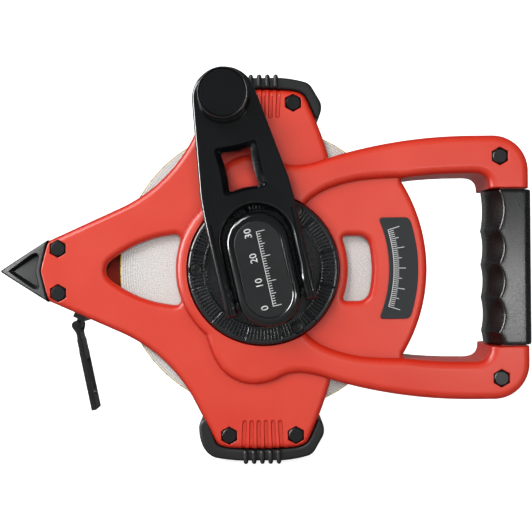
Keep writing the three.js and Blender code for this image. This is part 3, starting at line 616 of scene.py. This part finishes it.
def opening(right):
    """The hand opening, with its left side round the coil and its right side where it is asked."""
    radius, corner = 87.7, 46.2
    half = path((radius, 0), arc(0, 0, radius, 0, degrees(asin(corner / radius)), 1),
                quad((74.5, corner), (74.4, 47.8), (76.5, 48.1), 4), HAND_SIDE)
    if right > HAND_RIGHT:
        return path(half, (HAND_RIGHT, GRIP_TOP), (right, GRIP_TOP), (right, 0))
    return path(half, (HAND_RIGHT, 0))


def loop_outline():
    """Outer edge of the raised loop: round the disc and along the handle."""
    shoulder = chain((-30.8, 35.0), (-29.0, 43.5, -24.3, 51.3, 10), (-17.5, 60.8, -5.2, 61.3, 14),
                     (3.2, 61.2, 9.5, 57.3, 10), (17.5, 52.6, 35.6, 59.2, 14))
    return mirrored(path(arc(0, 0, 46.6, 180, 131.4, 2.5), shoulder, BAR, CORNER, (RIGHT_END, 0)))


def loop_hole():
    """Inner edge of the raised loop: round the panel and the hand opening."""
    panel = chain((21, 31.5), (27.5, 43.0, 52, 46.9, 16), (62, 48.0, 74.4, 48.0, 8))
    return mirrored(path((30, 0), panel, HAND_SIDE, (HAND_RIGHT, 0)))


def left_window():
    edge = chain((-84.3, 0), (-84.3, 3.6, -80.5, 6.2, 8), (-67, 16.2, -51, 18.4, 16), (-48.2, 18.8),
                 (-43.4, 19.2, -44.6, 15, 5))
    return mirrored(path(edge, arc(0, 0, 47, 161.4, 180, 2)), 1.2)


def right_window():
    edge = chain((43.0, 14.7), (42.2, 17.4, 45, 17.4, 5), (50.5, 17.4), (55.8, 17.4, 57.1, 11.9, 8))
    return mirrored(path(arc(0, 0, 45.5, 0, 18.9, 2), edge, arc(0, 0, 58.3, 11.8, 0, 2)), 1.2)


def segment_distance(points, a, b):
    a, b = np.array(a), np.array(b)
    along = unit((points - a) @ (b - a) / np.dot(b - a, b - a))[:, None]
    return norm(points - a - along * (b - a), axis=1)


def shell_half(front):
    """The front half, or the matching back half without windows and disc hole."""
    outline = mirrored(path(flank((-150.0, 0.5)), (RIGHT_END, 0)))
    domain = mirrored(path(flank(path(NOSE_BACK, NOSE_CORNER)), (RIGHT_END, GRIP_TOP),
                           (CORE_RIGHT, GRIP_TOP), (CORE_RIGHT, 0)))
    hand = mirrored(opening(HAND_RIGHT))
    loop, inner = loop_outline(), loop_hole()
    windows = [left_window(), right_window()] if front else []
    disc_r, disc_edge = DISC_R + 0.4, 0.8
    chevron_w, chevron_h = 0.8, 0.7
    pocket_w, pocket_depth = 0.35, 3.7
    band_w, band_h = 1.0, 0.8
    pockets = [closed(hexagon(*middle(f"frame_bolt_{i}")[[0, 2]], 8.5), 2) for i in range(1, 9)]
    grip_band = box(20, GRIP_TOP, (130, 0), 2)
    nose_bay = mirrored(path((-102, 0), (-102, 18.4), (-66, 35), (-60, 0)))

    lines = fillet_rings(outline, EDGE_W)
    for cut in (hand, *windows):
        lines += fillet_rings(cut, EDGE_W, -1)
    for reach in (0.2, 0.5, 0.8):
        lines.append(mirrored(path((reach - 118.8, 0), (reach - 114.9, 15.6), (-112, 15.6), (-112, 0))))
    lines += [loop, inset(loop, 0.15), inner, inset(inner, -0.15)]
    lines += fillet_rings(loop, LOOP_W) + fillet_rings(inner, LOOP_W, -1)
    for pocket in pockets:
        lines += step_rings(pocket) + [inset(pocket, -pocket_w)]
    lines += step_rings(grip_band) + [inset(grip_band, -r) for r in (0.25, 0.6, band_w)]
    lines += step_rings(circle(0, 0, BAY_R, 160)) + step_rings(nose_bay)
    for side in (1, -1):
        for x, lean in FLUTES:
            for reach in (FLUTE_R, 0.8, 0.35):
                foot = arc(x, side * FLUTE_FOOT, reach, 0, -180 * side, 20)
                top_end = [(x + lean + r, side * FLUTE_TOP) for r in (-reach, reach)]
                lines.append(closed(path(foot, top_end)))
    holes = [mirrored(opening(CORE_LEFT))] + windows
    if front:
        lines += [circle(0, 0, r, 180) for r in (disc_r + disc_edge, disc_r + disc_edge / 2)]
        holes.append(circle(0, 0, disc_r, 180))

    def top(p):
        low = BASE - fillet(clearance(p, outline, hand, *windows), EDGE_W, EDGE_H)
        loop_edge = clearance(p, loop, inner)
        high = LOOP - fillet(loop_edge, LOOP_W, LOOP_H)
        for x, lean in FLUTES:
            for side in (1, -1):
                gap = segment_distance(p, (x, side * FLUTE_FOOT), (x + lean, side * FLUTE_TOP))
                low -= 0.9 * np.sqrt(unit(1 - (gap / FLUTE_R) ** 2))
        depth = np.where(loop_edge > -1e-6, np.maximum(low, high), low)
        for side in (1, -1):
            corner = (NOSE_CORNER[0], side * NOSE_CORNER[1])
            depth -= fillet(segment_distance(p, NOSE_BACK, corner), chevron_w, chevron_h)
        for pocket in pockets:
            gap = -inside(p, pocket)
            rim = depth - fillet(gap, pocket_w, pocket_w) * (gap > 0)
            depth = np.where(gap < 0, depth - pocket_depth, rim)
        if front:
            depth -= fillet(norm(p, axis=1) - disc_r, disc_edge, disc_edge)
        in_grip = inside(p, grip_band)
        depth -= fillet(-in_grip, band_w, band_h) * (in_grip < 0)
        return np.where(in_grip > 0, CORE_DEPTH, depth)

    def bottom(p):
        depth = np.where(inside(p, nose_bay) > 0, 11.0, 0.06)
        return np.where(norm(p, axis=1) < BAY_R, WALL, depth)

    verts, faces = relief(domain, holes, lines, top, bottom)
    side = "front" if front else "rear"
    finish_mesh(f"{side}_shell_body", (verts * (1, 1 if front else -1, 1), faces), "frame", red, 32,
                f"{side}_shell")


# ---- Spike, bumpers and grip ----

def nose_spike():
    left = box_mm("nose_spike")[0][0]
    corner, edge, wall = (-115.1, 16.5), 1.1, 1.7
    outline = mirrored(path((-119.15, 0), corner, (left, 0.35)), 1.2)
    hollow = chain((-138.4, 0), (-124.6, 8.9), (-120.4, 11.2, -119.8, 8.0, 6), (-121.5, 0))
    recess = mirrored(hollow, 0.8)
    lines = fillet_rings(outline, edge, 1, 4)
    lines += [inset(recess, wall * part) for part in (0, 0.25, 0.6, 1)]

    def top(p):
        reach = unit((p[:, 0] - left) / (corner[0] - left))
        depth = 4.4 + 8.9 * reach ** 0.8 - fillet(inside(p, outline), edge, 0.9)
        sink = unit(inside(p, recess) / wall)
        return depth - (1.6 + 2.4 * reach) * sink * sink * (3 - 2 * sink)

    finish_mesh("spike_body", relief(outline, [], lines, top), "frame", black, 28, "nose_spike")


def bumper(side):
    """Ribbed rubber cap on a lobe; side is 1 for the upper lobe and -1 for the lower one."""
    rib_at = [-1.3 + 4.43 * (i - 2) for i in range(5)]
    rib_half, rib_tip, skin_z, edge = 1.3, 104.35, 102.7, 1.8
    left = chain((-31.2, 79.6), (-34.8, 80.0, -35.2, 84.5, 6), (-35.0, 97.8, -26.6, 101.0, 10),
                 (-19, 102.4, rib_at[0] - 2.4, skin_z, 4))
    ribs = [path((x - rib_half, skin_z), arc(x, rib_tip - rib_half, rib_half, 180, 0, 30),
                 (x + rib_half, skin_z)) for x in rib_at]
    right = chain((rib_at[-1] + 2.4, skin_z), (18, 102.0, 23.6, 100.2, 4), (25.6, 99.4, 27.0, 97.3, 4),
                  (31.2, 90.0), (32.6, 87.0, 31.4, 83.4, 5), (30.6, 80.8, 28.9, 80.8, 4))
    lobe = flank(NOSE_CORNER)
    lobe = lobe[(lobe[:, 0] > -32.6) & (lobe[:, 0] < 28.8) & (lobe[:, 1] > 79.7)]
    seat = inset(closed(path(lobe, (30, 60), (-38, 60))), -0.25)
    seat = seat[seat[:, 1] > 79.8]
    seat = seat[np.argsort(-seat[:, 0])]
    outline = closed(path(left, *ribs, right, seat), 1.2) * (1, side)
    lines = fillet_rings(outline, edge, 1, 4)
    for x in rib_at:
        for reach in (rib_half, 1.15, 0.7, 0):
            lines.append(box(reach + 0.01, 3.1, (x, 100.3), 1.2) * (1, side))

    def top(p):
        depth = 11.7 - fillet(inside(p, outline), edge, 1.5)
        rise = unit((np.abs(p[:, 1]) - 96.2) / 0.8)
        for x in rib_at:
            depth += 1.1 * np.sqrt(unit(1 - ((p[:, 0] - x) / rib_half) ** 2)) * rise
        return depth

    name = "top_bumper" if side > 0 else "bottom_bumper"
    finish_mesh(f"{name}_body", relief(outline, [], lines, top), "frame", rubber, 35, name)


RIDGES = (42.3, 19.8, 1.5, -16.5, -34.8, -50.0)  # heights of the ridges between the fingers


def finger_groove(z):
    """0 on a ridge between the fingers and 1 in the middle of a groove."""
    for above, below in zip(RIDGES, RIDGES[1:]):
        if z >= below:
            t = (above - z) / (above - below)
            return sin(pi * min(max(t, 0), 1)) ** 0.75
    return 1.0


def grip_section(left, inner_reach, right, half):
    """Cross-section of the grip: a crisp edge over the fingers, rounded towards the palm."""
    flat, outer_r, rim = 4.0, 4.5, 0.5
    start, end = left + inner_reach, right - outer_r
    side = [(left + (inner_reach - 0.8) * t ** 1.25, flat + (half - 0.9 - flat) * t)
            for t in np.linspace(0, 1, 8)]
    side += [(start - 0.52, half - 0.5), (start - 0.1, half - 0.15), (start + rim, half)]
    side += [(start + (end - start) * t, half) for t in (0.2, 0.5, 0.8)]
    side += [(end + outer_r * cos(a), half - outer_r + outer_r * sin(a))
             for a in np.linspace(pi / 2, 0, 7)]
    return side + [(x, -depth) for x, depth in side[::-1]]


def hand_grip():
    low, high = box_mm("hand_grip")
    left, right, bottom, top = low[0] + 1.0, high[0] - 0.4, low[2] + 0.1, high[2] - 0.1
    half = front_of("hand_grip")
    lip, lip_end = ((0, 1.2), (0.12, 0.6), (0.5, 0.15)), 0.9
    levels = [(bottom + z, pull) for z, pull in lip]
    levels += [(z, 0.0) for z in np.linspace(bottom, top, 120) if bottom + lip_end < z < top - lip_end]
    levels += [(top - z, pull) for z, pull in lip[::-1]]
    verts, rings = [], []
    for z, pull in levels:
        g = finger_groove(z)
        section = grip_section(left + 1.2 * g + pull, 5.2 + 2.0 * g, right - pull, half - pull)
        add_ring(verts, rings, [(x, depth, z) for x, depth in section])
    faces = skin(rings, len(section)) + [tuple(rings[0]), tuple(rings[-1][::-1])]
    finish_mesh("grip_sleeve", (verts, faces), "frame", grip_rubber, 28, "hand_grip")


# ---- Labels ----

def panel_outline():
    inner, outer, half, corner = 67.1, 82.5, 27.0, 2.6
    near, far = sqrt(inner ** 2 - half ** 2), sqrt(outer ** 2 - half ** 2)
    inner_end = degrees(asin((half - corner) / inner))
    outer_end = degrees(asin((half - corner) / outer))
    near_side = arc(0, 0, inner, 0, inner_end, 2)
    far_side = arc(0, 0, outer, outer_end, 0, 2)
    top_left = quad(near_side[-1], (near, half), (near + corner, half), 6)
    top_right = quad((far - corner, half), (far, half), far_side[0], 6)
    return mirrored(path(near_side, top_left, top_right, far_side), 1.2)


def plate(name, outline, low, high, edge, body, material, node, matrix=None):
    """A flat plate with a small rounded edge."""
    def top(p):
        return high - fillet(inside(p, outline), edge, min(edge, (high - low) * 0.8))

    shape = relief(outline, [], fillet_rings(outline, edge, 1, 3), top, level(low))
    finish_mesh(name, shape, body, material, 35, node, matrix)


def tick_length(i, long, middling, short):
    """Length of a scale's division: each tenth is long, and each fifth is in between."""
    return long if i % 10 == 0 else middling if i % 5 == 0 else short


def print_marks(name, bars, depth, body, matrix=None):
    """Raised printing made of small bars, each (x, z, half width, half height, angle)."""
    verts, faces = [], []
    for x, z, half_width, half_height, angle in bars:
        first = len(verts)
        c, s = cos(angle), sin(angle)
        for height in (depth, depth + 0.06):
            for sx, sz in ((-1, -1), (1, -1), (1, 1), (-1, 1)):
                px, pz = sx * half_width, sz * half_height
                verts.append((x + px * c - pz * s, height, z + px * s + pz * c))
        faces += [tuple(first + i for i in f) for f in
                  ((0, 1, 2, 3), (7, 6, 5, 4), (0, 4, 5, 1), (1, 5, 6, 2), (2, 6, 7, 3), (3, 7, 4, 0))]
    finish_mesh(name, (verts, faces), body, white_ink, 30, None, matrix, False)


def numerals(name, text, size, at):
    """Raised numbers reading up the hub plate; at is (x, depth, z) of their middle."""
    font = bpy.data.curves.new(name, "FONT")
    font.body = text
    font.size = size
    font.extrude = 0.03
    font.offset = 0.012 * size
    font.align_x = "CENTER"
    font.align_y = "CENTER"
    font.resolution_u = 3
    source = add_object(name + " curve", font)
    bpy.context.view_layer.update()
    evaluated = source.evaluated_get(bpy.context.evaluated_depsgraph_get())
    mesh = bpy.data.meshes.new_from_object(evaluated)
    bpy.data.objects.remove(source)
    verts = [(at[0] - v.co.y, at[1] + v.co.z, at[2] + v.co.x) for v in mesh.vertices]
    faces = [tuple(p.vertices) for p in mesh.polygons]
    piece = finish_mesh(name, (verts, faces), "spool", white_ink, 30, None, ARM_TURN, False)
    face_outwards(piece.data, 0.01 * MM)


def panel_label():
    plate("panel_plate", panel_outline(), BASE + 0.02, BASE + 0.55, 0.4, "frame", label, "panel_label")
    base_r, pitch, thin = 69.6, 0.85, 0.17
    bars = []

    def mark(step, radius, half_width, half_height):
        angle = radians(pitch * step)
        bars.append((radius * cos(angle), radius * sin(angle), half_width, half_height, angle))

    for i in range(-20, 21):
        length = tick_length(i, 3.2, 2.2, 1.4)
        mark(i, base_r + length, length, thin)
    for i in range(-20, 20):
        mark(i + 0.5, base_r, thin, 0.6)
    print_marks("panel_scale", bars, BASE + 0.54, "frame")


# ---- Bolts, nuts and screws ----

HEAD = 3.4  # thickness of a bolt head and of a nut


def hex_piece(name, node, at, front, hole=0.0, face_sign=1):
    """A hex head or nut with chamfered corners; face_sign is -1 for one that faces the back."""
    flat_r, edge, lead = 3.4, 0.12, 0.4
    outline = closed(hexagon(*at, 8.0), 1.1)
    rings = [circle(*at, r, 40) for r in (flat_r, 3.75)] + [inset(outline, edge)]
    holes = []
    if hole:
        holes = [circle(*at, hole, 24)]
        rings.append(circle(*at, hole + lead, 24))

    def top(p):
        radius = norm(p - at, axis=1)
        depth = front - np.clip(radius - flat_r, 0, 2) * 0.8 - fillet(inside(p, outline), edge, 0.1)
        if hole:
            return depth - np.clip(hole + lead - radius, 0, lead)
        return depth - 0.12 * unit(1 - radius / flat_r)

    verts, faces = relief(outline, holes, rings, top, level(front - HEAD))
    finish_mesh(name, (verts * (1, face_sign, 1), faces), "frame", bolt_black, 25, node)


def fasteners():
    for i in range(1, 9):
        bolt, nut = f"frame_bolt_{i}", f"frame_nut_{i}"
        at, front = middle(bolt)[[0, 2]], front_of(bolt)
        hex_piece(f"bolt_head_{i}", bolt, at, front)
        hex_piece(f"nut_{i}", nut, at, front, 2.7, -1)
        near, far = front - HEAD, 0.4 - front
        shank = rounded([(0, near), (2.5, near), (2.5, far), (0, far)], 0.4)
        finish_mesh(f"bolt_shank_{i}", turned(shank, 20, at), "frame", bolt_black, 35)


def disc_screw(i):
    node = f"disc_screw_{i}"
    at, front = middle(node)[[0, 2]], front_of(node)
    slots = [box(wide, tall, at) for wide, tall in ((2.0, 0.42), (0.42, 2.0))]

    def top(p):
        dome = front - 0.045 * np.sum((p - at) ** 2, axis=1)
        cross = np.maximum(inside(p, slots[0]), inside(p, slots[1]))
        return np.where(cross > 0, front - 1.0, dome)

    lines = [circle(*at, r, 30) for r in (2.4, 2.8)] + step_rings(slots[0]) + step_rings(slots[1])
    shape = relief(circle(*at, 3.0, 36), [], lines, top, level(front - 2.0))
    finish_mesh(f"screw_head_{i}", shape, "spool", bolt_black, 30, node)


# ---- Spool and disc ----

def tape():
    """The wound tape, with the edges of its turns standing slightly uneven, in a printed outer turn."""
    rng = np.random.default_rng(7)
    bore, outer, turn = 41.5, COIL_R - 0.35, 0.45
    side, wrap_side = COIL_HALF - 0.3, COIL_HALF - 0.1
    radii = np.arange(bore + 0.3, COIL_R - 0.7, turn)
    wobble = np.convolve(rng.normal(0, 1, len(radii)), [0.25, 0.5, 0.25], "same") * 0.05
    front = [(r, COIL_HALF - 0.12 + w) for r, w in zip(radii, wobble)]
    profile = [(bore, side)] + front + [(outer, side), (outer, -side)]
    profile += [(r, -d) for r, d in front[::-1]] + [(bore, -side)]
    finish_mesh("wound_tape", turned(profile, 200), "spool", tape_edge, 60, "tape_coil")
    wrap = [(outer + 0.02, wrap_side), (COIL_R, wrap_side), (COIL_R, 1 - COIL_HALF),
            (COIL_R, -wrap_side), (outer + 0.02, -wrap_side)]
    finish_mesh("outer_turn", turned(wrap, 200), "spool", tape_face)


def crank_disc():
    rib_shape = np.tile([1.0, 1.0, 0.9, 0.35, 0.0, 0.0, 0.35, 0.9], 120)
    steps = len(rib_shape)
    floor_r, band_in, band_out = 30.6, 31.3, 37.6
    spoke_angle, spoke_half, spoke_depth = 30, 0.35, 0.5
    back = PARTING - box_mm("crank_disc")[1][1]
    radii = [0.0, 8.0, 16.0, 24.0, 29.7, floor_r, floor_r + 0.05, 30.9, band_in, band_in + 0.15]
    radii += list(np.arange(31.8, band_out - 0.2, 0.4)) + [band_out - 0.15, band_out, 37.9, 38.4, 38.9]
    radii += [39.3, 39.6, 39.85, DISC_R]
    screws = [middle(f"disc_screw_{i}")[[0, 2]] for i in range(1, 4)]
    angle = np.arange(steps) * 2 * pi / steps

    def surface(r):
        depth = np.full(steps, DISC_TOP)
        if r <= floor_r:
            depth[:] = DISC_TOP - 3.5 - 0.25 * (r < 29.8)
        if band_in < r < band_out:
            ease = min(1.0, (r - band_in) / 0.5, (band_out - r) / 0.5)
            depth -= 0.75 * (1 - rib_shape) * ease + 0.05
        depth -= fillet(np.full(steps, DISC_R - r), 1.8, 1.6) * (r > 37.8)
        if r > floor_r + 0.01:
            off_spoke = np.abs(np.degrees(angle) % spoke_angle - spoke_angle / 2)
            depth -= spoke_depth * unit(1 - np.radians(off_spoke) * r / spoke_half)
            for x, z in screws:
                gap = np.hypot(r * np.cos(angle) - x, r * np.sin(angle) - z)
                depth = np.where(gap < 3.9, DISC_TOP - 0.1, depth)
                depth = np.where(gap < 3.3, DISC_TOP - 1.6, depth)
        return depth

    levels = [(r, surface(r)) for r in radii]
    levels += [(r, np.full(steps, depth)) for r, depth in
               ((DISC_R, back + 0.3), (DISC_R - 0.3, back), (0.0, back))]
    verts, rings = [], []
    for r, depth in levels:
        ring = list(zip(r * np.cos(angle), depth, r * np.sin(angle)))
        add_ring(verts, rings, ring if r else ring[:1])
    finish_mesh("disc_body", (verts, skin(rings, steps)), "spool", disc_black, 32, "crank_disc")


# ---- Crank, in the frame of its arm ----

ARM_TURN = Matrix.Rotation(atan2(KNOB_AT[0], KNOB_AT[2]), 4, "Y")
KNOB_U = hypot(KNOB_AT[0], KNOB_AT[2])
PIVOT_U = -hypot(PIVOT[0], PIVOT[2])
ARM_HALF = 5.5


def stadium(half_width, half_height):
    straight = half_height - half_width
    return closed(path(arc(0, straight, half_width, 0, 180, 6),
                       arc(0, -straight, half_width, 180, 360, 6)), 2)


def hub_block():
    outline, seat = stadium(16.5, 30), stadium(12.25, 25.25)
    front, edge, lip = front_of("hub_block"), 3.4, 0.3
    lines = fillet_rings(outline, edge, 1, 7) + step_rings(seat) + [inset(seat, -lip)]

    def top(p):
        depth = front - fillet(inside(p, outline), edge, 3.2)
        gap = -inside(p, seat)
        return np.where(gap < 0, front - 0.6, depth - fillet(gap, lip, lip) * (gap > 0))

    shape = relief(outline, [], lines, top, level(DISC_TOP - 3.6))
    finish_mesh("hub_cover", shape, "spool", gloss, 30, "hub_block", ARM_TURN)
    plate("hub_plate", stadium(12.05, 25.05), front - 0.55, front - 0.12, 0.35, "spool", dark_label,
          "hub_label", ARM_TURN)
    face, pitch, foot, thin = front - 0.13, 1.3, -19.5, 0.17
    bars = []
    for i in range(31):
        length = tick_length(i, 2.0, 1.3, 0.75)
        bars.append((1.2 + length, pitch * i + foot, length, thin, 0))
    bars.append((0.9, 0, thin, 19.7, 0))
    for i in range(4):
        numerals(f"hub_number_{i}", str(10 * i), 5.2, (-3.4, face + 0.03, 10 * pitch * i + foot))
    print_marks("hub_scale", bars, face, "spool", ARM_TURN)


def arm_window(half_width, half_height, corner, at):
    """The square window in the arm: slightly pinched sides and rounded corners."""
    x, z, c = half_width, half_height, corner
    pinch = 0.7
    quarter = chain((x - pinch, 0), (x - pinch, 1), (x - pinch, z * 0.5, x, z - c, 5),
                    (x, z, x - c, z, 6), (x * 0.4, z - pinch, 0, z - pinch, 5))
    upper = path(quarter, quarter[::-1] * (-1, 1))
    return closed(path(upper, upper[::-1] * (1, -1)), 1.2) + at


def crank_arm():
    tip_r, edge = 16.6, 1.7
    half_gap, fork_top = 18.1, 33.3
    span, end = 24.0, PIVOT_U - ARM_HALF
    shoulder = (23.3, 44.0)
    lean_in = degrees(atan2(shoulder[0] - tip_r, KNOB_U - shoulder[1]))
    side = path(chain((half_gap, end), (span, end), (span, 26), (span, 36, *shoulder, 6)),
                arc(0, KNOB_U, tip_r, lean_in, 90, 4))
    fork = arc(0, fork_top - half_gap, half_gap, 180, 0, 4)
    outline = closed(path(side, side[::-1] * (-1, 1), fork))
    through = arm_window(7.9, 10.4, 1.6, (-0.2, 53.0))
    mouth = arm_window(11.6, 12.9, 3.0, (0.3, 53.4))
    inner_edge = closed(path(fork, (half_gap, end - 30), (-half_gap, end - 30)))
    hub_ring = circle(0, KNOB_U, 13.6, 72)
    grooves = [closed(path((s * 20.2, end - 2), (s * 22.0, end - 2), (s * 21.7, 28), (s * 20.9, 28)))
               for s in (1, -1)]

    lines = fillet_rings(outline, edge, 1, 5) + [through, mouth, inset(mouth, 0.4), inset(mouth, 1.6)]
    lines += [inset(inner_edge, -r) for r in (0.7, 1.4, 2.2)] + step_rings(hub_ring)
    for groove in grooves:
        lines += [groove, inset(groove, 0.3)]
    for past in (0, 1.5, 3, 4.2, 5):
        lines += [slit(s * 3.05, (s * 21.05, PIVOT_U - past), 3) for s in (1, -1)]

    def half_thickness(p):
        past = np.clip(PIVOT_U - p[:, 1], 0, ARM_HALF - 0.15)
        return np.sqrt(ARM_HALF ** 2 - past ** 2)

    def top(p):
        depth = ARM_DEPTH + half_thickness(p) - fillet(inside(p, outline), edge, 1.5)
        fork_gap = -inside(p, inner_edge)
        depth -= 1.6 * unit(1 - fork_gap / 2.2) * unit((p[:, 1] + 12) / 10)
        depth -= 4.2 * unit(inside(p, mouth) / 2.8) ** 1.2
        for groove in grooves:
            depth -= 0.8 * unit(inside(p, groove) / 0.3)
        return np.maximum(depth, ARM_DEPTH + 0.2)

    def bottom(p):
        return ARM_DEPTH - half_thickness(p) + fillet(inside(p, outline), 1.3, 1.0)

    shape = relief(outline, [through], lines, top, bottom)
    finish_mesh("arm_body", shape, "crank", gloss, 30, "crank_arm", ARM_TURN)


def knob():
    front, back = front_of("crank_knob"), PARTING - box_mm("crank_knob")[1][1]
    r, bore, seat, steps = 12.9, 3.4, front - 1.6, 96
    body = rounded([(12.0, seat), (12.0, front - 0.1), (12.35, front), (r, front - 0.7),
                    (r - 0.35, front - 7), (r - 0.2, back + 2.0), (r + 0.4, back + 0.9),
                    (r + 0.4, back), (bore, back)], 0.3) + [(bore, seat)]
    dish = [(d, front - 0.85 + 0.5 * (d / 11) ** 2) for d in (0, 2, 4, 6, 8, 9.6, 10.8)]
    dish += [(11.5, front - 0.3), (11.8, front - 0.55), (11.8, front - 1.5), (0, front - 1.5)]
    for name, profile, node in (("knob_body", body, "crank_knob"), ("knob_face", dish, "knob_cap")):
        finish_mesh(name, turned(profile, steps, (0, KNOB_U)), "knob", gloss, 32, node, ARM_TURN)


# ---- Hook at the end of the tape ----

def end_hook():
    low, high = box_mm("end_hook")
    half_wide = (high[1] - low[1]) / 2
    tilt, length, half, eye, edge = radians(11.5), 47.0, 1.4, 2.6, 0.5
    side = chain((1.2, -3.6), (1.0, -4.4, 1.0, -5.5, 3), (1.0, -6.5), (1.05, -7.2, half, -8, 3),
                 (half, edge - length), (half, -length, half - edge, -length, 3))
    outline = closed(path(arc(0, 0, eye, 205, -25, 15), side, side[::-1] * (-1, 1)), 0.8)
    band = box(4, 0.9, (0, -15.9), 2)
    lines = fillet_rings(outline, edge, 1, 3) + step_rings(band)
    lines += [slit(2, (0, z), 2) for z in (-8, -9, -10, -14.2, -14.6)]

    def top(p):
        depth = half_wide - fillet(inside(p, outline), edge, 0.45)
        depth -= np.where(inside(p, band) > 0, 0.0, 0.35)
        return depth - 0.5 * unit((p[:, 1] + 14.6) / 0.4)

    place = Matrix.Translation((HOOK_AT[0] * MM, 0, HOOK_AT[2] * MM)) @ Matrix.Rotation(-tilt, 4, "Y")
    piece = finish_mesh("hook_body", relief(outline, [], lines, top), "hook", black, 35, None, place)
    cut_box(piece, (0, PARTING, -29), (10, 4.5, 10), 2.0, place)
    cut_box(piece, (0, PARTING, 0.4), (10, 4.8, 4.6), 0.3, place)
    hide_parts("end_hook")


def cut_box(piece, centre, half, corner, place):
    """Cuts a box opening with rounded corners through a piece."""
    work = bmesh.new()
    bmesh.ops.create_cube(work, size=2)
    bmesh.ops.scale(work, vec=Vector(half) * MM, verts=work.verts)
    along_x = [e for e in work.edges if abs(e.verts[0].co.x - e.verts[1].co.x) > half[0] * MM]
    bmesh.ops.bevel(work, geom=along_x, offset=corner * MM, segments=4, affect="EDGES", profile=0.5)
    bmesh.ops.translate(work, vec=Vector(centre) * MM, verts=work.verts)
    mesh = bpy.data.meshes.new("cutter")
    work.to_mesh(mesh)
    work.free()
    mesh.transform(place)
    cutter = add_object("cutter", mesh)
    modifier = piece.modifiers.new("cut", "BOOLEAN")
    modifier.operation = "DIFFERENCE"
    modifier.object = cutter
    modifier.solver = "EXACT"
    bpy.context.view_layer.objects.active = piece
    bpy.ops.object.modifier_apply(modifier="cut")
    bpy.data.objects.remove(cutter)


# ---- CAD nodes that stay ----

def keep(node, material, width=0.15):
    """Gives a CAD node its material and softens its edges."""
    piece = nodes[node]
    piece.data.materials.clear()
    piece.data.materials.append(material)
    modifier = piece.modifiers.new("soft edges", "BEVEL")
    modifier.width = width * MM
    modifier.segments = 2
    modifier.limit_method = "ANGLE"
    modifier.angle_limit = radians(40)


shell_half(True)
shell_half(False)
nose_spike()
bumper(1)
bumper(-1)
hand_grip()
panel_label()
fasteners()
for i in range(1, 4):
    disc_screw(i)
tape()
crank_disc()
hub_block()
crank_arm()
knob()
end_hook()
for node in ("spool_drum", "mouth_guide", "hook_clasp"):
    keep(node, black, 0.25)
for node in ("spool_axle", "knob_axle"):
    keep(node, steel)
for node in ("crank_pin", "hook_pin"):
    keep(node, bolt_black)
keep("tape_lead", lead_edge, 0.05)


# ---- Stage, light and camera ----

def backdrop():
    """A pale floor that curves up into a wall behind the object."""
    floor_z = cad_box[0][2] - 0.6 * MM
    bend, wall_y, near_y, wide, high = 0.35, 0.75, -2.2, 3.0, 2.4
    section = path((near_y, 0), arc(wall_y - bend, bend, bend, -90, 0, 7.5), (wall_y, high))
    verts = [(x, y, floor_z + z) for y, z in section for x in (-wide, wide)]
    faces = [(2 * i, 2 * i + 1, 2 * i + 3, 2 * i + 2) for i in range(len(section) - 1)]
    mesh = bpy.data.meshes.new("backdrop")
    mesh.from_pydata(verts, [], faces)
    mesh.polygons.foreach_set("use_smooth", [True] * len(mesh.polygons))
    m = Shader("backdrop")
    seen = m.add("ShaderNodeLightPath").outputs["Is Camera Ray"]
    m.surface(m.mix(seen, (0.4, 0.4, 0.4), (0.9, 0.9, 0.9)), 0.8, specular=0.1)
    m.set(m.shader.inputs["Emission Color"], (1.0, 1.0, 1.0))
    m.set(m.shader.inputs["Emission Strength"], m.ramp(seen, 0, 1, 0.05, 0.9))
    mesh.materials.append(m.material)
    add_object("backdrop", mesh)


def area_light(name, place, size, power, diffuse=True, glints=True, target=(0, 0, 0)):
    """A soft panel of light that lights surfaces, is mirrored in glossy ones, or both."""
    lamp = bpy.data.lights.new(name, "AREA")
    lamp.shape = "RECTANGLE"
    lamp.size, lamp.size_y = size
    lamp.energy = power
    holder = add_object(name, lamp)
    holder.location = place
    holder.rotation_euler = (Vector(target) - Vector(place)).to_track_quat("-Z", "Y").to_euler()
    holder.visible_diffuse = diffuse
    holder.visible_glossy = glints


def world_light(strength):
    world = bpy.data.worlds.new("soft room")
    world.use_nodes = True
    background = world.node_tree.nodes["Background"]
    background.inputs["Color"].default_value = (1, 1, 1, 1)
    background.inputs["Strength"].default_value = strength
    scene.world = world


def camera():
    """Looks straight at the front from about 0.45 m, with the object filling the frame."""
    distance, seen_width, sensor = 450.0, 283.2, 36
    front_y = PARTING - 14
    data = bpy.data.cameras.new("camera")
    data.sensor_width = sensor
    data.lens = sensor * distance / seen_width
    data.clip_start = 0.01
    holder = add_object("camera", data)
    holder.location = Vector((1.5, front_y - distance, 1.7)) * MM
    holder.rotation_euler = (radians(90), radians(0.5), 0)
    scene.camera = holder


backdrop()
area_light("key", (-0.62, -0.95, 0.85), (0.5, 0.5), 11.5)
area_light("front", (0.1, -1.5, 0.2), (0.9, 0.9), 9, glints=False)
area_light("panel", (0.42, -0.95, -0.14), (0.2, 0.26), 4.2, diffuse=False, target=(0.1, 0, 0))
area_light("left strip", (-0.75, -0.38, 0.1), (0.2, 1.1), 26, diffuse=False)
area_light("right strip", (0.6, -0.45, -0.5), (0.18, 0.9), 13, diffuse=False)
world_light(0.16)
camera()
scene.view_settings.view_transform = "Standard"
